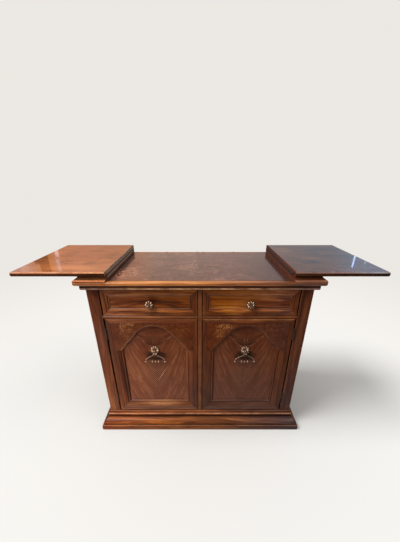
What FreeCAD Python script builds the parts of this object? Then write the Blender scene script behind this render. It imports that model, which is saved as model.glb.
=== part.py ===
import FreeCAD, Part
import math
import os
import Sketcher
from FreeCAD import Placement, Rotation, Vector

# Bar cabinet with a flip-top: two leaves lie open on raised end caps and
# extend past the sides as shelves; folded over they meet above the serving
# surface.  Two drawers over two arched-panel doors stand on a moulded plinth.
#
# Frame: millimetres, +X to the right, +Y to the back, +Z up.  The origin is on
# the floor, under the middle of the cabinet with its leaves open.

doc = FreeCAD.newDocument("bar_cabinet")
sheet = doc.addObject("Spreadsheet::Sheet", "Dims")

DIMENSIONS = [
    # carcass
    ("body_half", 476.0, "half width of the carcass"),
    ("body_front", -202.0, "front face of the posts"),
    ("body_back", 236.0, "back face of the carcass"),
    ("base_top", 100.0, "top of the plinth"),
    ("body_top", 801.0, "underside of the sub-top"),
    ("post_width", 50.0, "width of a corner post"),
    ("post_depth", 30.0, "depth of the posts and front rails"),
    ("side_thick", 18.0, "thickness of a side panel"),
    ("stile_half", 9.0, "half width of the centre stile"),
    ("back_thick", 6.0, "thickness of the back panel"),
    ("rail_low", 660.0, "underside of the rail under the drawers"),
    ("rail_high", 672.0, "top of the rail under the drawers"),
    ("guide_top", 697.0, "top of the drawer guides"),
    # plinth
    ("frame_out", 10.0, "plinth frame proud of the carcass"),
    ("frame_groove", 8.0, "plinth frame face in the shadow groove"),
    ("frame_in", 12.0, "plinth frame inside the carcass face"),
    ("groove_low", 64.0, "bottom of the shadow groove"),
    ("groove_high", 72.0, "top of the shadow groove"),
    ("skirt_out", 42.0, "foot moulding proud of the carcass"),
    ("skirt_face", 36.0, "height of the flat face of the foot moulding"),
    ("panel_thick", 18.0, "thickness of the bottom panel"),
    ("block_side", 40.0, "side of a corner block"),
    # top
    ("subtop_out", 15.5, "sub-top proud of the carcass"),
    ("subtop_round", 6.0, "rounding of the sub-top's lower edge"),
    ("slab_low", 824.0, "underside of the top slab"),
    ("slab_high", 841.0, "upper face of the top slab"),
    ("slab_half", 508.0, "half width of the top slab"),
    ("slab_front", -234.0, "front of the top slab"),
    ("slab_back", 244.0, "back of the top slab"),
    ("cap_inner", 377.0, "inner face of an end cap"),
    ("cap_bead", 850.0, "top of the bead of an end cap"),
    ("cap_top", 863.0, "top of an end cap"),
    ("cap_shelf", 491.0, "outer edge of an end cap at its top"),
    ("inlay_front", -212.0, "front edge of the serving surface"),
    ("inlay_back", 230.0, "back edge of the serving surface"),
    ("slab_under", 10.0, "rounding of the slab's nose, lower edge"),
    ("slab_over", 4.0, "rounding of the slab's nose, upper edge"),
    ("cap_round", 7.0, "rounding of an end cap's bead"),
    ("inlay_deep", 2.0, "thickness of the serving surface"),
    # leaves
    ("leaf_far", 750.0, "free edge of an open leaf"),
    ("leaf_front", -227.0, "front edge of a leaf"),
    ("leaf_thick", 19.0, "thickness of a leaf"),
    ("leaf_gap", 0.3, "gap between an open leaf and its end cap"),
    ("leaf_round", 6.0, "rounding of the edges of a leaf"),
    ("leaf_seam", 4.5, "rounding of a leaf's upper edge at the seam"),
    ("seam_x", 375.5, "hinge line of a leaf"),
    ("barrel_r", 2.0, "radius of the piano hinge's barrel"),
    ("rod_r", 0.9, "radius of the piano hinge's pin"),
    ("rod_play", 0.07, "radial play of the piano hinge's pin"),
    ("plate", 1.25, "thickness of the piano hinge's plates"),
    ("piano_front", -200.0, "front end of the piano hinge"),
    ("piano_pitch", 27.25, "pitch of the piano hinge's barrels"),
    ("piano_gap", 0.4, "gap between two barrels of the piano hinge"),
    ("piano_wide", 12.5, "width of the piano hinge's plates from its pin"),
    # drawers
    ("front_inner", 12.0, "drawer front and door, edge near the stile"),
    ("front_outer", 420.0, "drawer front, edge near the post"),
    ("front_low", 675.0, "lower edge of a drawer front"),
    ("front_high", 796.0, "upper edge of a drawer front"),
    ("front_thick", 20.0, "thickness of a drawer front"),
    ("front_border", 17.0, "flat border of a drawer front"),
    ("front_bevel", 16.0, "width of the bevel of a drawer front"),
    ("front_sink", 8.0, "depth of a drawer front's panel"),
    ("box_inner", 15.0, "drawer box, side near the partition"),
    ("box_outer", 418.0, "drawer box, side near the cabinet's side"),
    ("box_back", 200.0, "back of the drawer box"),
    ("box_side", 12.0, "thickness of a drawer side"),
    ("box_low", 672.4, "underside of a drawer side"),
    ("box_high", 770.0, "top of a drawer side"),
    ("bottom_low", 682.0, "underside of a drawer bottom"),
    ("bottom_thick", 6.0, "thickness of a drawer bottom"),
    ("knob_x", 216.0, "middle of a drawer front"),
    ("knob_z", 731.0, "height of a drawer knob"),
    ("knob_r", 19.2, "radius of a drawer knob"),
    ("knob_reach", 24.0, "reach of a knob from the panel"),
    ("stud_r", 2.0, "radius of a knob's stud"),
    # doors
    ("door_outer", 418.5, "hinge edge of a door"),
    ("door_low", 103.0, "lower edge of a door"),
    ("door_high", 656.0, "upper edge of a door"),
    ("door_thick", 20.0, "thickness of a door"),
    ("door_border", 20.0, "flat border of a door"),
    ("field_inner", 66.0, "field of a door, edge near the stile"),
    ("field_outer", 360.0, "field of a door, edge near the hinges"),
    ("field_low", 164.0, "lower edge of the field of a door"),
    ("field_deep", 9.0, "depth of the frame's edge at the field"),
    ("rabbet_deep", 11.8, "depth of the rabbet that takes the panel"),
    ("rabbet_in", 16.0, "width of the rabbet"),
    ("panel_face", 12.0, "depth of the panel's face"),
    ("door_panel", 6.0, "thickness of a door's panel"),
    ("shoulder_z", 488.0, "shoulder of the arch"),
    ("spring_half", 80.0, "half width of the arch at its spring"),
    ("spring_z", 563.0, "spring of the arch"),
    ("crown_z", 611.0, "crown of the arch"),
    ("door_mid", 213.0, "middle of a door"),
    ("pin_x", 422.25, "hinge line of a door"),
    ("pin_y", -203.5, "hinge line of a door, in depth"),
    ("butt_r", 3.5, "radius of a butt hinge's barrel"),
    ("butt_pin", 1.5, "radius of a butt hinge's pin"),
    ("butt_play", 0.08, "radial play of a butt hinge's pin"),
    ("butt_len", 58.0, "length of a butt hinge"),
    ("butt_mid", 21.0, "length of the middle barrel"),
    ("butt_gap", 0.4, "gap between two barrels"),
    ("butt_plate", 1.5, "thickness of a butt hinge's plates"),
    ("butt_low", 195.0, "middle of the lower hinge"),
    ("butt_high", 580.0, "middle of the upper hinge"),
    # pulls
    ("pull_z", 483.0, "middle of a door's rosette"),
    ("rose_r", 21.5, "radius of a rosette"),
    ("rose_thick", 5.0, "thickness of a rosette"),
    ("boss_r", 6.5, "radius of a rosette's boss"),
    ("boss_reach", 14.0, "reach of the boss from the door's field"),
    ("bail_z", 467.5, "pivot of a bail"),
    ("bail_y", -203.0, "pivot of a bail, in depth"),
    ("bail_pin", 1.6, "radius of a bail's pivot pin"),
    ("bail_play", 0.1, "radial play of a bail on its pin"),
    ("lug_r", 3.2, "radius of the lugs that hold a bail's pin"),
    ("hub_r", 4.2, "radius of a bail's hub"),
    ("hub_half", 5.0, "half length of a bail's hub"),
    ("bar_z", 424.0, "grip bar of a bail"),
    ("bar_half", 52.0, "half length of a bail's grip bar"),
    ("bar_r", 3.4, "radius of a bail's grip bar"),
    ("arm_r", 2.4, "radius of a bail's arms"),
    ("bead_r", 5.2, "radius of the beads on the grip bar"),
    # inside
    ("shelf_low", 372.0, "underside of a shelf"),
    ("shelf_thick", 16.0, "thickness of a shelf"),
    ("shelf_front", -150.0, "front edge of a shelf"),
    ("peg_r", 2.5, "radius of a shelf pin"),
    ("peg_in", 8.0, "length of a shelf pin in the wood"),
    ("peg_out", 9.0, "length of a shelf pin under the shelf"),
    ("catch_z", 605.0, "height of the door catches"),
    ("pad_r", 3.5, "radius of a felt pad"),
    ("pad_thick", 2.6, "thickness of a felt pad"),
]

for row, (alias, number, note) in enumerate(DIMENSIONS, start=1):
    sheet.set("A%d" % row, note)
    sheet.set("B%d" % row, "%g" % number)
    sheet.setAlias("B%d" % row, alias)
doc.recompute()


class Size:
    """A size as a number together with the spreadsheet formula behind it."""

    def __init__(self, number, text):
        self.number = float(number)
        self.text = text

    def __add__(self, other):
        other = size(other)
        return Size(self.number + other.number, "(%s + %s)" % (self.text, other.text))

    def __sub__(self, other):
        other = size(other)
        return Size(self.number - other.number, "(%s - %s)" % (self.text, other.text))

    def __mul__(self, other):
        other = size(other)
        return Size(self.number * other.number, "(%s * %s)" % (self.text, other.text))

    def __truediv__(self, other):
        other = size(other)
        return Size(self.number / other.number, "(%s / %s)" % (self.text, other.text))

    def __radd__(self, other):
        return size(other) + self

    def __rsub__(self, other):
        return size(other) - self

    def __rmul__(self, other):
        return size(other) * self

    def __neg__(self):
        return Size(-self.number, "(0 - %s)" % self.text)


def size(value):
    return value if isinstance(value, Size) else Size(value, "(%.6g)" % value)


D = {}
for alias, number, note in DIMENSIONS:
    D[alias] = Size(sheet.get(alias), "Dims." + alias)


class Named:
    def __getattr__(self, alias):
        return D[alias]


d = Named()
nodes = []          # every sub-part, in the order it is written


def keep(obj, label):
    obj.Label = label
    nodes.append(obj)
    return obj


def bind(obj, prop, value):
    obj.setExpression(prop, size(value).text)


def box(name, x0, x1, y0, y1, z0, z1):
    """A board between two corners."""
    x0, x1, y0, y1, z0, z1 = [size(v) for v in (x0, x1, y0, y1, z0, z1)]
    if x0.number > x1.number:
        x0, x1 = x1, x0
    if y0.number > y1.number:
        y0, y1 = y1, y0
    obj = doc.addObject("Part::Box", name)
    bind(obj, "Length", x1 - x0)
    bind(obj, "Width", y1 - y0)
    bind(obj, "Height", z1 - z0)
    bind(obj, ".Placement.Base.x", x0)
    bind(obj, ".Placement.Base.y", y0)
    bind(obj, ".Placement.Base.z", z0)
    return obj


AXIS_TURN = {
    "X": Rotation(Vector(0, 1, 0), 90),
    "Y": Rotation(Vector(1, 0, 0), -90),
    "Z": Rotation(),
}


def rod(name, axis, start, length, radius):
    """A cylinder along an axis from its start point."""
    obj = doc.addObject("Part::Cylinder", name)
    obj.Placement = Placement(Vector(), AXIS_TURN[axis])
    bind(obj, "Radius", radius)
    bind(obj, "Height", length)
    bind(obj, ".Placement.Base.x", start[0])
    bind(obj, ".Placement.Base.y", start[1])
    bind(obj, ".Placement.Base.z", start[2])
    return obj


def origin_plane(body, role):
    for feature in body.Origin.OriginFeatures:
        if feature.Role == role:
            return feature
    raise RuntimeError("no plane " + role)


def sketch(body, name, plane, level, points, arcs=None):
    """A closed outline on a plane of the body, at a level along its normal.

    arcs maps the number of a segment to (radius, side): +1 has the arc's
    centre on the left of the way from its first point to its second.
    """
    arcs = arcs or {}
    sk = body.newObject("Sketcher::SketchObject", name)
    sk.AttachmentSupport = [(origin_plane(body, plane + "_Plane"), "")]
    sk.MapMode = "FlatFace"
    level = size(level)
    if plane == "XZ":            # this plane's normal points along -Y
        level = -level
    bind(sk, ".AttachmentOffset.Base.z", level)
    pts = [(size(u), size(v)) for u, v in points]
    total = len(pts)
    first, last = {}, {}
    for i in range(total):
        a = Vector(pts[i][0].number, pts[i][1].number, 0)
        b = Vector(pts[(i + 1) % total][0].number, pts[(i + 1) % total][1].number, 0)
        if i in arcs:
            radius, side = size(arcs[i][0]), arcs[i][1]
            half = (b - a).Length / 2
            rise = math.sqrt(max(radius.number ** 2 - half ** 2, 0.0))
            along = (b - a).normalize()
            left = Vector(-along.y, along.x, 0)
            centre = (a + b) * 0.5 + left * (rise * side)
            a0 = math.atan2(a.y - centre.y, a.x - centre.x)
            a1 = math.atan2(b.y - centre.y, b.x - centre.x)
            circle = Part.Circle(centre, Vector(0, 0, 1), radius.number)
            if side > 0:
                sk.addGeometry(Part.ArcOfCircle(circle, a0, a1), False)
                first[i], last[i] = 1, 2
            else:
                sk.addGeometry(Part.ArcOfCircle(circle, a1, a0), False)
                first[i], last[i] = 2, 1
        else:
            sk.addGeometry(Part.LineSegment(a, b), False)
            first[i], last[i] = 1, 2
    for i in range(total):
        j = (i + 1) % total
        sk.addConstraint(Sketcher.Constraint("Coincident", i, last[i], j, first[j]))
    for i, (u, v) in enumerate(pts):
        k = sk.addConstraint(Sketcher.Constraint("DistanceX", -1, 1, i, first[i], u.number))
        sk.setExpression("Constraints[%d]" % k, u.text)
        k = sk.addConstraint(Sketcher.Constraint("DistanceY", -1, 1, i, first[i], v.number))
        sk.setExpression("Constraints[%d]" % k, v.text)
    for i in arcs:
        radius = size(arcs[i][0])
        k = sk.addConstraint(Sketcher.Constraint("Radius", i, radius.number))
        sk.setExpression("Constraints[%d]" % k, radius.text)
    return sk


def new_body(name):
    return doc.addObject("PartDesign::Body", name)


def pad(body, sk, length):
    feature = body.newObject("PartDesign::Pad", sk.Name + "Pad")
    feature.Profile = sk
    bind(feature, "Length", length)
    return feature


def cut_through(body, sk, length, both=True):
    feature = body.newObject("PartDesign::Pocket", sk.Name + "Cut")
    feature.Profile = sk
    bind(feature, "Length", length)
    feature.Midplane = both
    return feature


def prism(name, plane, points, lo, hi, arcs=None):
    """A body: an outline padded from one level to the other."""
    body = new_body(name)
    lo, hi = size(lo), size(hi)
    start = hi if plane == "XZ" else lo
    pad(body, sketch(body, name + "Outline", plane, start, points, arcs), hi - lo)
    return body


def flip(points, side):
    """Mirrors an outline's first coordinate for the left side."""
    return [(size(u) * side, v) for u, v in points]


def edges_where(shape, test):
    found = []
    for number, edge in enumerate(shape.Edges, start=1):
        points = [edge.valueAt(edge.FirstParameter + (edge.LastParameter - edge.FirstParameter) * f)
                  for f in (0.0, 0.5, 1.0)]
        if all(test(p) for p in points):
            found.append("Edge%d" % number)
    return found


def soften(body, radius, test):
    """Rounds the edges of a body whose points pass a test."""
    doc.recompute()
    tip = body.Tip
    names = edges_where(tip.Shape, test)
    if not names:
        raise RuntimeError("no edge to round on " + body.Name)
    feature = body.newObject("PartDesign::Fillet", body.Name + "Round%d" % len(body.Group))
    feature.Base = (tip, names)
    bind(feature, "Radius", radius)
    doc.recompute()
    return feature


def near(value, target, slack=0.05):
    return abs(value - size(target).number) < slack


def group(label, members):
    """Like pieces that share one node as separate solids."""
    obj = doc.addObject("Part::Compound", label)
    obj.Links = members
    return keep(obj, label)


def fused(name, members):
    obj = doc.addObject("Part::MultiFuse", name)
    obj.Shapes = members
    return obj


def cut(name, base, tool):
    obj = doc.addObject("Part::Cut", name)
    obj.Base = base
    obj.Tool = tool
    return obj


SIDES = (("left", -1), ("right", 1))

# ---------------------------------------------------------------- plinth
front_out = d.body_front - d.frame_out
front_in = d.body_front + d.frame_in
groove_y = d.body_front - d.frame_groove
out_x = d.body_half + d.frame_out
in_x = d.body_half - d.frame_in
groove_x = d.body_half + d.frame_groove

body = prism("FrameFront", "XY",
             [(-groove_x, groove_y), (groove_x, groove_y), (in_x, front_in), (-in_x, front_in)],
             0, d.groove_high)
pad(body, sketch(body, "FrameFrontUpper", "XY", d.groove_high,
                 [(-out_x, front_out), (out_x, front_out), (in_x, front_in), (-in_x, front_in)]),
    d.base_top - d.groove_high)
soften(body, 3.0, lambda p: near(p.y, front_out) and near(p.z, d.base_top))
keep(body, "plinth_frame_front")

members = []
for tag, s in SIDES:
    body = prism("FrameSide_" + tag, "XY",
                 flip([(groove_x, groove_y), (groove_x, d.body_back), (in_x, d.body_back), (in_x, front_in)], s),
                 0, d.groove_high)
    pad(body, sketch(body, "FrameSideUpper_" + tag, "XY", d.groove_high,
                     flip([(out_x, front_out), (out_x, d.body_back), (in_x, d.body_back), (in_x, front_in)], s)),
        d.base_top - d.groove_high)
    soften(body, 3.0, lambda p: near(abs(p.x), out_x) and near(p.z, d.base_top))
    members.append(body)
group("plinth_frame_sides", members)

rear_in = d.body_back - 22
keep(box("RearRail", -in_x, in_x, rear_in, d.body_back, 0, d.base_top), "plinth_frame_rear")

# foot moulding: flat face, small quirk, ogee up to the frame
skirt = [(d.frame_groove, 0), (d.skirt_out, 0), (d.skirt_out, d.skirt_face - 4),
         (d.skirt_out - 4, d.skirt_face), (d.skirt_out - 6, d.skirt_face), (d.skirt_out - 6, d.skirt_face + 3),
         (25, 53), (12, d.groove_low - 2), (12, d.groove_low), (d.frame_groove, d.groove_low)]
skirt_arcs = {2: (4, 1), 5: (30, 1), 6: (34, -1)}

body = new_body("SkirtFront")
profile = [(d.body_front - o, z) for o, z in skirt]
flipped = {2: (4, -1), 5: (30, -1), 6: (34, 1)}
long_x = d.body_half + d.skirt_out
pad(body, sketch(body, "SkirtFrontProfile", "YZ", -long_x, profile, flipped), long_x * 2)
for tag, s in SIDES:
    corner = flip([(groove_x - 1, groove_y + 1), (long_x + 3, d.body_front - d.skirt_out - 3),
                   (long_x + 3, groove_y + 1)], s)
    cut_through(body, sketch(body, "SkirtMitre_" + tag, "XY", 0, corner), 300)
keep(body, "plinth_moulding_front")

members = []
for tag, s in SIDES:
    body = new_body("SkirtSide_" + tag)
    profile = [((d.body_half + o) * s, z) for o, z in skirt]
    arcs = skirt_arcs if s > 0 else flipped
    far_y = d.body_front - d.skirt_out
    pad(body, sketch(body, "SkirtSideProfile_" + tag, "XZ", d.body_back, profile, arcs), d.body_back - far_y)
    corner = flip([(groove_x - 1, groove_y + 1), (long_x + 3, far_y - 3), (groove_x - 1, far_y - 3)], s)
    cut_through(body, sketch(body, "SkirtSideMitre_" + tag, "XY", 0, corner), 300)
    members.append(body)
group("plinth_moulding_sides", members)

block_top = d.base_top - d.panel_thick
members = []
for tag, s in SIDES:
    for end, y0, y1 in (("front", front_in, front_in + d.block_side), ("rear", rear_in - d.block_side, rear_in)):
        members.append(box("Block_%s_%s" % (tag, end), (in_x - d.block_side) * s, in_x * s, y0, y1, 0, block_top))
group("plinth_blocks", members)

# ---------------------------------------------------------------- carcass
post_in = d.body_half - d.post_width
post_back = d.body_front + d.post_depth
side_in = d.body_half - d.side_thick
back_in = d.body_back - d.back_thick

keep(box("BottomPanel", -in_x, in_x, front_in, rear_in, block_top, d.base_top), "bottom_panel")
for tag, s in SIDES:
    keep(box("SidePanel_" + tag, side_in * s, d.body_half * s, post_back, d.body_back, d.base_top, d.body_top),
         "side_panel_" + tag)
for tag, s in SIDES:
    body = prism("Post_" + tag, "XY",
                 flip([(post_in, d.body_front), (d.body_half, d.body_front), (d.body_half, post_back),
                       (post_in, post_back)], s), d.base_top, d.body_top)
    soften(body, 2.5, lambda p: near(p.y, d.body_front) and near(abs(p.x), d.body_half))
    keep(body, "corner_post_" + tag)
body = prism("Stile", "XY", [(-d.stile_half, d.body_front), (d.stile_half, d.body_front),
                             (d.stile_half, post_back), (-d.stile_half, post_back)], d.base_top, d.body_top)
soften(body, 2.0, lambda p: near(p.y, d.body_front) and near(abs(p.x), d.stile_half))
keep(body, "centre_stile")
keep(box("Partition", -d.stile_half, d.stile_half, post_back, back_in, d.base_top, d.body_top), "centre_partition")
keep(box("Back", -side_in, side_in, back_in, d.body_back, d.base_top, d.body_top), "back_panel")
group("drawer_rails", [box("Rail_" + tag, d.stile_half * s, post_in * s, d.body_front, post_back,
                           d.rail_low, d.rail_high) for tag, s in SIDES])
group("dust_panels", [box("Dust_" + tag, d.stile_half * s, side_in * s, post_back, back_in,
                          d.rail_low, d.rail_high) for tag, s in SIDES])
members = []
for tag, s in SIDES:
    members.append(box("GuideOut_" + tag, (d.box_outer + 0.5) * s, side_in * s, post_back, back_in - 5,
                       d.rail_high, d.guide_top))
    members.append(box("GuideIn_" + tag, d.stile_half * s, (d.box_inner - 0.5) * s, post_back, back_in - 5,
                       d.rail_high, d.guide_top))
group("drawer_guides", members)

for tag, s in SIDES:
    body = prism("Shelf_" + tag, "XY",
                 flip([(d.stile_half + 1, d.shelf_front), (side_in - 1, d.shelf_front), (side_in - 1, back_in - 2),
                       (d.stile_half + 1, back_in - 2)], s), d.shelf_low, d.shelf_low + d.shelf_thick)
    soften(body, 3.0, lambda p: near(p.y, d.shelf_front) and abs(p.z - (d.shelf_low + d.shelf_thick / 2).number) > 5)
    keep(body, "shelf_" + tag)
members = []
for tag, s in SIDES:
    for end, y in (("front", d.shelf_front + 40), ("rear", back_in - 40)):
        z = d.shelf_low - d.peg_r
        for wall, face, way in (("side", side_in, -1), ("mid", d.stile_half, 1)):
            a = (face - d.peg_in * way) * s
            b = (face + d.peg_out * way) * s
            lo = a if a.number < b.number else b
            members.append(rod("Peg_%s_%s_%s" % (tag, end, wall), "X", (lo, y, z), d.peg_in + d.peg_out, d.peg_r))
group("shelf_pins", members)

# ---------------------------------------------------------------- top
sub_x = d.body_half + d.subtop_out
sub_y = d.body_front - d.subtop_out
sub_back = d.body_back + 4
body = prism("SubTop", "XY", [(-sub_x, sub_y), (sub_x, sub_y), (sub_x, sub_back), (-sub_x, sub_back)],
             d.body_top, d.slab_low)
soften(body, d.subtop_round, lambda p: (near(p.y, sub_y) or near(abs(p.x), sub_x)) and near(p.z, d.body_top))
keep(body, "sub_top")

body = prism("Slab", "XY", [(-d.slab_half, d.slab_front), (d.slab_half, d.slab_front),
                            (d.slab_half, d.slab_back), (-d.slab_half, d.slab_back)], d.slab_low, d.slab_high)
soften(body, d.slab_under, lambda p: (near(p.y, d.slab_front) or near(abs(p.x), d.slab_half)) and near(p.z, d.slab_low))
soften(body, d.slab_over, lambda p: (near(p.y, d.slab_front) or near(abs(p.x), d.slab_half)) and near(p.z, d.slab_high))
recess = sketch(body, "SlabRecess", "XY", d.slab_high,
                [(-d.cap_inner, d.inlay_front), (d.cap_inner, d.inlay_front),
                 (d.cap_inner, d.inlay_back), (-d.cap_inner, d.inlay_back)])
feature = body.newObject("PartDesign::Pocket", "SlabRecessCut")
feature.Profile = recess
bind(feature, "Length", d.inlay_deep)
keep(body, "top_slab")
keep(box("Inlay", -d.cap_inner, d.cap_inner, d.inlay_front, d.inlay_back, d.slab_high - d.inlay_deep, d.slab_high),
     "serving_surface")

cap_bead_x = d.slab_half
top_front = d.slab_front + (d.slab_half - d.cap_shelf)
for tag, s in SIDES:
    body = prism("Cap_" + tag, "XY",
                 flip([(d.cap_inner, d.slab_front), (d.slab_half, d.slab_front), (d.slab_half, d.slab_back),
                       (d.cap_inner, d.slab_back)], s), d.slab_high, d.cap_bead)
    soften(body, d.cap_round, lambda p: (near(p.y, d.slab_front) or near(abs(p.x), d.slab_half)) and
           near(p.z, d.cap_bead))
    sections = []
    for level, (out, height) in enumerate([(8.5, 0.0), (12.5, 2.0), (15.5, 5.5), (17.0, 13.0)]):
        x = d.slab_half - out
        y = d.slab_front + out
        sections.append(sketch(body, "CapCove%d_%s" % (level, tag), "XY", d.cap_bead + height,
                               flip([(d.cap_inner, y), (x, y), (x, d.slab_back), (d.cap_inner, d.slab_back)], s)))
    loft = body.newObject("PartDesign::AdditiveLoft", "CapCove_" + tag)
    loft.Profile = sections[0]
    loft.Sections = sections[1:]
    loft.Ruled = True
    # room for the barrel of the piano hinge along the inner arris
    notch = sketch(body, "CapNotch_" + tag, "XZ", d.slab_back + 1,
                   flip([(d.cap_inner - 1, d.cap_top - 3.4), (d.cap_inner + 3.4, d.cap_top + 1),
                         (d.cap_inner - 1, d.cap_top + 1)], s))
    feature = body.newObject("PartDesign::Pocket", "CapNotchCut_" + tag)
    feature.Profile = notch
    bind(feature, "Length", 500)
    feature.Reversed = False
    doc.recompute()
    before = loft.Shape.Volume
    if feature.Shape.isNull() or feature.Shape.Volume > before - 100:
        feature.Reversed = True
        doc.recompute()
    if not before - 2500 < feature.Shape.Volume < before - 100:
        raise RuntimeError("the notch of the end cap is wrong")
    keep(body, "end_cap_" + tag)

members = []
for tag, s in SIDES:
    for end, x in (("middle", 16), ("side", 190)):
        members.append(rod("Pad_%s_%s" % (tag, end), "Z", (s * x, (d.inlay_back + d.slab_back) / 2, d.slab_high),
                           d.pad_thick, d.pad_r))
group("top_felt_pads", members)

# ---------------------------------------------------------------- leaves
leaf_low = d.cap_top + d.leaf_gap
leaf_top = leaf_low + d.leaf_thick
for tag, s in SIDES:
    body = prism("Leaf_" + tag, "XY",
                 flip([(d.cap_inner, d.leaf_front), (d.leaf_far, d.leaf_front), (d.leaf_far, d.slab_back),
                       (d.cap_inner, d.slab_back)], s), leaf_low, leaf_top)
    soften(body, d.leaf_round, lambda p: (near(p.y, d.leaf_front) or near(p.y, d.slab_back) or
                                          near(abs(p.x), d.leaf_far)) and
           (near(p.z, leaf_low) or near(p.z, leaf_top)))
    notch = sketch(body, "LeafNotch_" + tag, "XZ", d.slab_back + 1,
                   flip([(d.cap_inner - 1, leaf_low + 3.4), (d.cap_inner + 3.4, leaf_low - 1),
                         (d.cap_inner - 1, leaf_low - 1)], s))
    feature = body.newObject("PartDesign::Pocket", "LeafNotchCut_" + tag)
    feature.Profile = notch
    bind(feature, "Length", 500)
    doc.recompute()
    before = feature.BaseFeature.Shape.Volume
    if feature.Shape.isNull() or feature.Shape.Volume > before - 100:
        feature.Reversed = True
        doc.recompute()
    if not before - 2500 < feature.Shape.Volume < before - 100:
        raise RuntimeError("the notch of the leaf is wrong")
    # upper edge at the seam, rounded straight through
    seam_u = d.cap_inner + d.leaf_seam
    arris = sketch(body, "LeafArris_" + tag, "XZ", d.slab_back + 1,
                   flip([(d.cap_inner - 1, leaf_top + 1), (seam_u, leaf_top + 1), (seam_u, leaf_top),
                         (d.cap_inner, leaf_top - d.leaf_seam), (d.cap_inner - 1, leaf_top - d.leaf_seam)], s),
                   {2: (d.leaf_seam, s)})
    notched = feature.Shape.Volume
    rounding = body.newObject("PartDesign::Pocket", "LeafArrisCut_" + tag)
    rounding.Profile = arris
    bind(rounding, "Length", 500)
    rounding.Reversed = feature.Reversed
    doc.recompute()
    if not notched - 2500 < rounding.Shape.Volume < notched - 500:
        raise RuntimeError("the rounding at the seam is wrong")
    keep(body, "leaf_board_" + tag)

# piano hinges: barrels in turn on the end cap's plate and the leaf's plate
seam_z = d.cap_top + d.leaf_gap / 2
barrel_len = d.piano_pitch - d.piano_gap
for half, up in (("fixed", -1), ("moving", 1)):
    for tag, s in SIDES:
        body = new_body("Piano_%s_%s" % (half, tag))
        start_y = d.piano_front if half == "fixed" else d.piano_front + d.piano_pitch
        face_x = d.cap_inner * s
        inner_x = (d.cap_inner - d.plate) * s
        near_z = seam_z + up * (d.barrel_r + 0.35)
        far_z = seam_z + d.piano_wide * up
        whole = d.piano_pitch * 16 - d.piano_gap
        plate_sk = sketch(body, "PianoPlate_%s_%s" % (half, tag), "XZ", d.piano_front + whole,
                          [(face_x, near_z), (face_x, far_z), (inner_x, far_z), (inner_x, near_z)])
        pad(body, plate_sk, whole)
        web_sk = sketch(body, "PianoWeb_%s_%s" % (half, tag), "XZ", start_y + barrel_len,
                        [(face_x, near_z + up * 0.5), (inner_x, near_z + up * 0.5), (inner_x, seam_z + up * 0.8),
                         (face_x, seam_z + up * 0.8)])
        web = pad(body, web_sk, barrel_len)
        tube_sk = body.newObject("Sketcher::SketchObject", "PianoTube_%s_%s" % (half, tag))
        tube_sk.AttachmentSupport = [(origin_plane(body, "XZ_Plane"), "")]
        tube_sk.MapMode = "FlatFace"
        bind(tube_sk, ".AttachmentOffset.Base.z", -(start_y + barrel_len))
        tube_sk.addGeometry(Part.Circle(Vector(375.5 * s, seam_z.number, 0), Vector(0, 0, 1), 2.0), False)
        for kind, value in (("DistanceX", d.seam_x * s), ("DistanceY", seam_z)):
            k = tube_sk.addConstraint(Sketcher.Constraint(kind, -1, 1, 0, 3, value.number))
            tube_sk.setExpression("Constraints[%d]" % k, value.text)
        k = tube_sk.addConstraint(Sketcher.Constraint("Radius", 0, d.barrel_r.number))
        tube_sk.setExpression("Constraints[%d]" % k, d.barrel_r.text)
        tube = pad(body, tube_sk, barrel_len)
        pattern = body.newObject("PartDesign::LinearPattern", "PianoRow_%s_%s" % (half, tag))
        pattern.Originals = [web, tube]
        for feature in body.Origin.OriginFeatures:
            if feature.Role == "Y_Axis":
                pattern.Direction = (feature, [""])
        bind(pattern, "Length", d.piano_pitch * 14)
        pattern.Occurrences = 8
        body.Tip = pattern
        doc.recompute()
        core_sk = body.newObject("Sketcher::SketchObject", "PianoCore_%s_%s" % (half, tag))
        core_sk.AttachmentSupport = [(origin_plane(body, "XZ_Plane"), "")]
        core_sk.MapMode = "FlatFace"
        bind(core_sk, ".AttachmentOffset.Base.z", -(d.piano_front + whole))
        core_r = d.rod_r if half == "fixed" else d.rod_r + d.rod_play
        core_sk.addGeometry(Part.Circle(Vector(375.5 * s, seam_z.number, 0), Vector(0, 0, 1), 1.0), False)
        for kind, value in (("DistanceX", d.seam_x * s), ("DistanceY", seam_z)):
            k = core_sk.addConstraint(Sketcher.Constraint(kind, -1, 1, 0, 3, value.number))
            core_sk.setExpression("Constraints[%d]" % k, value.text)
        k = core_sk.addConstraint(Sketcher.Constraint("Radius", 0, core_r.number))
        core_sk.setExpression("Constraints[%d]" % k, core_r.text)
        if half == "fixed":
            pad(body, core_sk, whole)
        else:
            bore = body.newObject("PartDesign::Pocket", "PianoBore_" + tag)
            bore.Profile = core_sk
            bind(bore, "Length", 1000)
            bore.Midplane = True
        doc.recompute()
        keep(body, "leaf_hinge_%s_%s" % (half, tag))

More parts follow.
